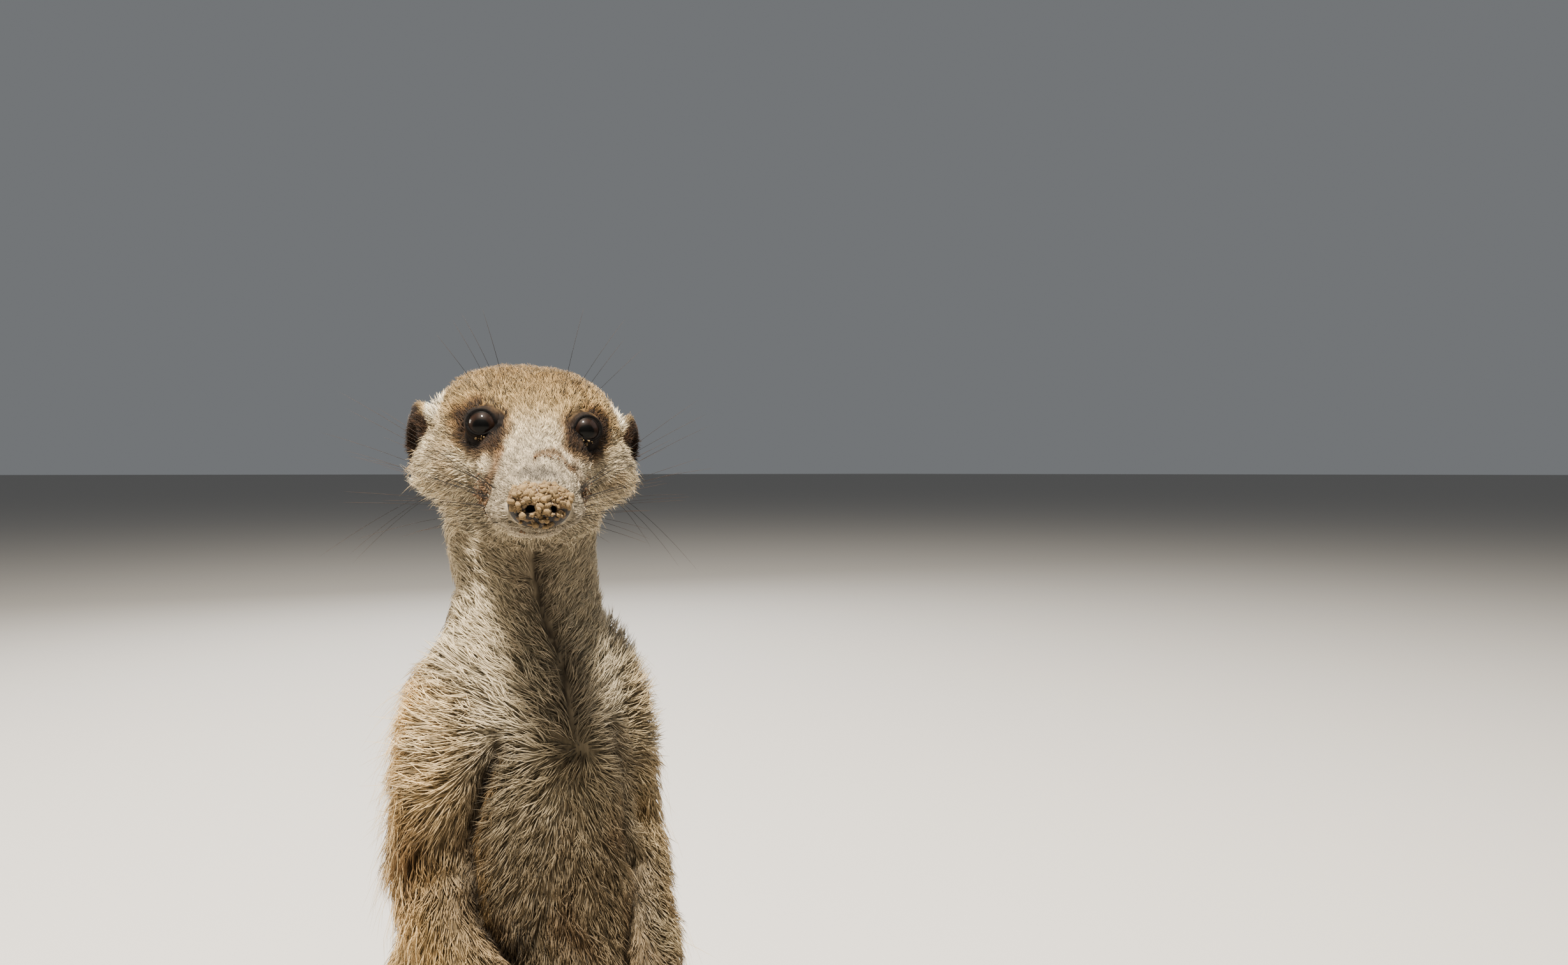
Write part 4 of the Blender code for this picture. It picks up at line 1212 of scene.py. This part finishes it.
def nose_pad():
    """Points of the pad in the head's frame, with each point's place across and above its middle.

    A ball about -Y whose sides are squared a little, pressed in along the nostrils, slits and groove.
    """
    angle, turn = ball_angles(1.2, 178, *PAD_GRID)
    angle = np.radians(angle)
    across, above = np.sin(angle) * np.cos(turn), np.sin(angle) * np.sin(turn)
    blunt = np.sign(np.cos(angle)) * np.abs(np.cos(angle)) ** 0.62
    squared = 1 + 0.08 * np.sin(2 * turn) ** 2 * np.sin(angle) ** 2
    x = PAD[0] * across * squared * (1 - 0.13 * smooth_step(0.2, -1.0, above))
    z = PAD[2] * above * squared
    y = -PAD[1] * blunt
    front = smooth_step(0.0, 0.5, np.cos(angle))
    hole = np.linalg.norm(np.stack([(np.abs(x) - NOSTRIL[0]) / 1.15, (z - NOSTRIL[1]) / 0.95]), axis=0)
    y = y + 4.2 * smooth_step(1.1, 0.6, hole) * front
    y = y - 0.3 * bell(hole - 1.5, 0.4) * front
    slit_height = NOSTRIL[1] - 0.55 * (np.abs(x) - NOSTRIL[0]) + 0.1
    slit = bell(z - slit_height, 0.4) * smooth_step(3.2, 4.0, np.abs(x)) * smooth_step(6.4, 5.2, np.abs(x))
    y = y + 1.0 * slit * front
    y = y + 0.6 * bell(x, 0.35) * smooth_step(0.8, -0.4, z) * front
    shape = np.stack([x, y, z], axis=1)
    rough = 0.16 * ripple(shape, 1.3, 31) + 0.10 * ripple(shape, 0.6, 32)
    crust = smooth_step(-0.6, 0.8, z + 2.0 * ripple(shape, 2.6, 33)) * smooth_step(1.0, 1.3, hole)
    lumps = smooth_step(0.05, 0.5, ripple(shape, 2.0, 34)) * smooth_step(1.0, 1.3, hole)
    lumps = lumps * smooth_step(-5.6, -4.6, z)
    sand = np.maximum(crust, lumps) * smooth_step(1.2, 0.95, angle - 0.6 * smooth_step(0, 3, z))
    shape = shape * (1 + ((rough + 0.28) * sand / 7)[:, None])
    shape[:, 1] = np.minimum(shape[:, 1], 3.0)
    return NOSE_PLACE + shape, sand, hole


pad_points, sand_share, hole = nose_pad()
pad_mesh = mesh_of("nose_pad", from_head(pad_points), polar_grid(*PAD_GRID))
leather = np.tile(tint(25, 22, 21), (len(pad_points), 1))
leather = mixed(leather, tint(98, 78, 54), sand_share * 0.95)
# Painted shade: the insides of the nostrils are near black.
leather = mixed(leather, tint(9, 7, 6), smooth_step(1.15, 0.85, hole) * (pad_points[:, 1] < -44))
painted(pad_mesh, leather)


def nose_material():
    """Damp leather with a fine pebbled bump, under the painted sand."""
    material, tree, shader = shader_of("nose_skin", 0.5, 0.2)
    grain = tree.nodes.new("ShaderNodeTexVoronoi")
    grain.inputs["Scale"].default_value = 2400
    place = tree.nodes.new("ShaderNodeTexCoord")
    tree.links.new(place.outputs["Object"], grain.inputs["Vector"])
    shade = shaded_by(tree, painted_colour(tree), noise(tree, 1800, 4), 0.75, 1.12)
    tree.links.new(shade, shader.inputs["Base Color"])
    bumped(tree, shader, grain.outputs["Distance"], 0.2 * MM, 0.6)
    return material


finish_piece("nose_pad", pad_mesh, nose_material(), "nose_leather", "nose")


CRUMB_GRID = (3, 6)
CRUMB_POINTS = CRUMB_GRID[0] * CRUMB_GRID[1] + 2


def crumbs(middles, sizes, seed):
    """Points and faces of small lumps, each a ball of three rings of six whose points are pushed about."""
    rng = np.random.default_rng(seed)
    angle, turn = ball_angles(45, 135, *CRUMB_GRID)
    angle = np.radians(angle)
    ball = np.stack([np.sin(angle) * np.cos(turn), np.sin(angle) * np.sin(turn), np.cos(angle)], axis=1)
    count = len(middles)
    rough = rng.uniform(0.6, 1.25, (count, CRUMB_POINTS, 1))
    lumps = ball[None] * rough * rng.uniform(0.7, 1.2, (count, 1, 3))
    points = middles[:, None] + lumps * sizes[:, None, None] / 2
    faces = polar_grid(*CRUMB_GRID)[None] + (np.arange(count) * CRUMB_POINTS)[:, None, None]
    return points.reshape(-1, 3), faces.reshape(-1, 3)


def sand_material():
    """Dry grains of sand: tan, with darker specks and a rough surface."""
    material, tree, shader = shader_of("dry_sand", 0.92)
    grains = noise(tree, 3200, 4)
    shade = shaded_by(tree, painted_colour(tree), grains, 0.62, 1.2)
    tree.links.new(shade, shader.inputs["Base Color"])
    bumped(tree, shader, grains, 0.25 * MM, 0.8)
    return material


def on_skin(head_points, lift=0):
    """The points of the skin nearest to places given in the head's frame, lifted off it along its normals."""
    on_head = in_head(skin_points) > 0.5
    head = to_head(skin_points[on_head])
    nearest = ((head**2).sum(axis=1)[None] - 2 * head_points @ head.T).argmin(axis=1)
    return skin_points[on_head][nearest] + skin_normals[on_head][nearest] * lift


def finish_crumbs(name, places, sizes, tone, seed):
    """One piece of loose grains of sand or earth, each with its own shade of a tone."""
    rng = np.random.default_rng(seed)
    points, faces = crumbs(places, sizes, seed)
    mesh = mesh_of(name, points, faces)
    painted(mesh, np.repeat(rng.uniform(0.6, 1.15, (len(places), 1)), CRUMB_POINTS, axis=0) * tone)
    finish_piece(name, mesh, sand_finish, "nose_leather")


LARGE_GRAINS = 130  # of sand, on the nose
SMALL_GRAINS = 430
LID_GRAINS = 22  # under each eye
BRIDGE_GRAINS = 44  # of earth
CHEEK_GRAINS = {-1: 300, 1: 150}  # by side: the right cheek is the dirtier
LIP_GRAINS = 30  # on each side
sand_finish = sand_material()
sand_rng = np.random.default_rng(41)
likely = np.flatnonzero((sand_share > 0.5) & (hole > 1.25) & (pad_points[:, 1] < NOSE_PLACE[1] + 1))
picked = sand_rng.choice(likely, LARGE_GRAINS + SMALL_GRAINS, replace=False)
sand_places = from_head(pad_points[picked])
large_sizes = sand_rng.uniform(0.9, 2.5, LARGE_GRAINS)
sand_sizes = np.append(large_sizes, sand_rng.gamma(2.2, 0.24, SMALL_GRAINS).clip(0.25, 1.4)) * MM
under_lids = []
for side in SIDES.values():
    turns = np.radians(sand_rng.uniform(188, 290, LID_GRAINS))
    past = opening_angle(turns) + sand_rng.uniform(1, 22, LID_GRAINS)
    under_lids.append(from_head(eye_place(side, np.full(LID_GRAINS, EYE_RADIUS + 0.7), past, turns)))
sand_places = np.vstack([sand_places, *under_lids])
sand_sizes = np.append(sand_sizes, sand_rng.uniform(0.25, 0.8, 2 * LID_GRAINS) * MM)
finish_crumbs("sand_crumbs", sand_places, sand_sizes, tint(122, 99, 64), 42)
share = sand_rng.random(BRIDGE_GRAINS)
bridge = np.stack([10.5 * share - 1, np.full(BRIDGE_GRAINS, -37), bridge_arc(share)], axis=1)
dirt = [bridge + sand_rng.normal(0, 0.3, (BRIDGE_GRAINS, 3))]
for side, many in CHEEK_GRAINS.items():
    dirt.append((15.5 * side, -29, -13.5) + sand_rng.normal(0, 1, (many, 3)) * (2.0, 3.6, 3.2))
    dirt.append((6 * side, -42, -20.5) + sand_rng.normal(0, 1, (LIP_GRAINS, 3)) * (3.0, 2.0, 1.0))
dirt = np.vstack(dirt)
dirt_sizes = sand_rng.gamma(2.4, 0.16, len(dirt)).clip(0.2, 1.2) * MM
dirt_lift = (sand_rng.uniform(0.5, 1.9, len(dirt)) * smooth_step(-48, -30, dirt[:, 1]) * MM)[:, None]
finish_crumbs("dirt_crumbs", on_skin(dirt, dirt_lift), dirt_sizes, tint(92, 66, 40), 43)

# Claws --------------------------------------------------------------------------------------------
# Long dark horn claws for digging, one to a digit, each in its sheath of skin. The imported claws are
# copied and made round by subdivision.


def horn_material():
    """Dark horn, streaked and scratched along its length, half glossy."""
    material, tree, shader = shader_of("claw_horn", 0.38)
    base = tree.nodes.new("ShaderNodeRGB")
    base.outputs[0].default_value = (*tint(62, 48, 40), 1)
    streaks = noise(tree, 700, 4, (1, 1, 0.25))
    shade = shaded_by(tree, base.outputs[0], streaks, 0.6, 1.35)
    tree.links.new(shade, shader.inputs["Base Color"])
    bumped(tree, shader, streaks, 0.1 * MM, 0.4)
    return material


claw_finish = horn_material()
for foot in ("foreclaw", "hind_claw"):
    for side in SIDES:
        nodes = [f"{foot}_{side}_{number}" for number in (1, 2, 3, 4)]
        name = f"{foot}s_{side}"
        claws = finish_piece(name, swollen(nodes, 0.05 * MM), claw_finish, "claw_horn", *nodes)
        rounding = claws.modifiers.new("rounding", "SUBSURF")
        rounding.levels = 1
        rounding.render_levels = 1

# Whiskers -----------------------------------------------------------------------------------------
# Stiff dark hairs in rows on both whisker pads, with a few over each eye and on the cheeks. Each is a
# thin tapering tube that leaves the skin and bends back.

# Rows of: first root, last root, first and last direction (right side mirrored), lengths, bend, and count.
WHISKERS = (
    ((8.6, -43, -10.5), (12.5, -32, -9.5), (0.82, 0.05, 0.42), (0.78, 0.42, 0.52),
     (24, 50), (0.1, 0.3, -0.05), 6),
    ((9.6, -43, -12.8), (13.4, -33, -12.4), (0.9, 0.05, 0.22), (0.85, 0.4, 0.36),
     (24, 54), (0.1, 0.3, -0.1), 6),
    ((9.8, -42, -15.2), (13.6, -33, -15.2), (0.9, 0.1, 0.0), (0.9, 0.4, 0.12),
     (20, 44), (0.1, 0.3, -0.15), 5),
    ((9.0, -42, -17.4), (12.5, -34, -17.6), (0.8, 0.05, -0.3), (0.85, 0.4, -0.2),
     (14, 34), (0.1, 0.25, -0.2), 4),
    ((8.0, -18.0, 15.5), (15.0, -14.0, 15.0), (0.18, 0.0, 0.95), (0.62, 0.1, 0.78),
     (30, 24), (0.1, 0.2, 0.0), 4),
    ((24.0, -9.0, -11.0), (26.0, -5.0, -14.0), (0.75, 0.3, -0.5), (0.7, 0.4, -0.62),
     (34, 26), (0.1, 0.2, -0.3), 3),
)


def whisker_rows(rows, side, seed):
    """Roots, directions, lengths and bends of one side's whiskers, read at even steps along each row."""
    rng = np.random.default_rng(seed)
    parts = []
    for first, last, way, last_way, lengths, bend, count in rows:
        share = np.linspace(0, 1, count)[:, None]
        root = np.array(first) + (np.array(last) - first) * share + rng.normal(0, 0.35, (count, 3))
        heading = unit(np.array(way) + (np.array(last_way) - way) * share + rng.normal(0, 0.07, (count, 3)))
        length = (lengths[0] + (lengths[1] - lengths[0]) * share[:, 0]) * rng.uniform(0.8, 1.12, count)
        curve = np.array(bend) * length[:, None] * rng.uniform(0.3, 1.3, (count, 1))
        mirror = (side, 1, 1)
        parts.append(np.hstack([root * mirror, heading * mirror, length[:, None], curve * mirror]))
    rows = np.vstack(parts)
    return rows[:, :3], rows[:, 3:6], rows[:, 6], rows[:, 7:]


def whisker_material():
    """Smooth stiff hair with a soft gloss, coloured from dark roots to browner tips."""
    material, tree, shader = shader_of("whisker_hair", 0.6, 0.15)
    shade = shaded_by(tree, painted_colour(tree), noise(tree, 500, 2), 0.8, 1.2)
    tree.links.new(shade, shader.inputs["Base Color"])
    return material


whisker_finish = whisker_material()
WHISKER_STEPS = np.linspace(0, 0.94, 10)
for name, side in SIDES.items():
    root, heading, length, curve = whisker_rows(WHISKERS, side, 51 + side)
    heading = heading @ HEAD_AXES
    upright = across(np.tile((0.0, 0.0, 1.0), (len(root), 1)), heading)
    tubes, tube_faces, steps, corner_turns = strands(
        on_skin(root),
        upright,
        heading,
        length * MM,
        np.full(len(root), 0.21 * MM),
        np.zeros(len(root)),
        (curve * MM) @ HEAD_AXES,
        WHISKER_STEPS,
        5,
    )
    mesh = mesh_of(f"whiskers_{name}", tubes.reshape(-1, 3), tube_faces)
    shades = mixed(np.tile(tint(9, 7, 6), (len(steps), 1)), tint(56, 40, 27), smooth_step(0.4, 1.0, steps))
    painted(mesh, np.tile(shades, (len(root), 1)))
    finish_piece(f"whiskers_{name}", mesh, whisker_finish, "dark_coat")

# Floor and light ----------------------------------------------------------------------------------
# A pale studio floor that runs out of view. A high key and a low light from behind, both warm, stand on
# the animal's right. The fill on its left and the light behind it are cooler.

floor_size = 120
corners = np.array([(-1, -1, 0), (1, -1, 0), (1, 1, 0), (-1, 1, 0)]) * floor_size
floor_mesh = mesh_of("floor", corners, np.array([(0, 1, 2, 3)]))
floor_material, _, floor_shader = shader_of("floor_paint", 0.8)
floor_shader.inputs["Base Color"].default_value = (0.42, 0.4, 0.375, 1)
floor_mesh.materials.append(floor_material)
floor = bpy.data.objects.new("floor", floor_mesh)
scene.collection.objects.link(floor)


def soft_light(name, place, aim, size, power, colour):
    """A square area light at a place, turned to its aim."""
    data = bpy.data.lights.new(name, "AREA")
    data.size = size
    data.energy = power
    data.color = colour
    light = bpy.data.objects.new(name, data)
    light.location = place
    light.rotation_euler = (Vector(aim) - Vector(place)).to_track_quat("-Z", "Y").to_euler()
    scene.collection.objects.link(light)


aim = (0, -0.06, 0.22)
soft_light("key", (-0.38, -0.56, 1.78), aim, 0.2, 196, (1.0, 0.925, 0.8))
soft_light("side", (-1.25, 0.8, 0.75), aim, 0.4, 22, (1.0, 0.9, 0.74))
soft_light("fill", (1.2, -0.7, 1.2), aim, 1.2, 7, (0.96, 0.97, 1.0))
soft_light("back", (0.4, 1.2, 1.0), aim, 1.0, 24, (0.97, 0.98, 1.0))
world = bpy.data.worlds.new("studio")
world.use_nodes = True
world.node_tree.nodes["Background"].inputs["Color"].default_value = (0.86, 0.9, 0.94, 1)
world.node_tree.nodes["Background"].inputs["Strength"].default_value = 0.2
scene.world = world
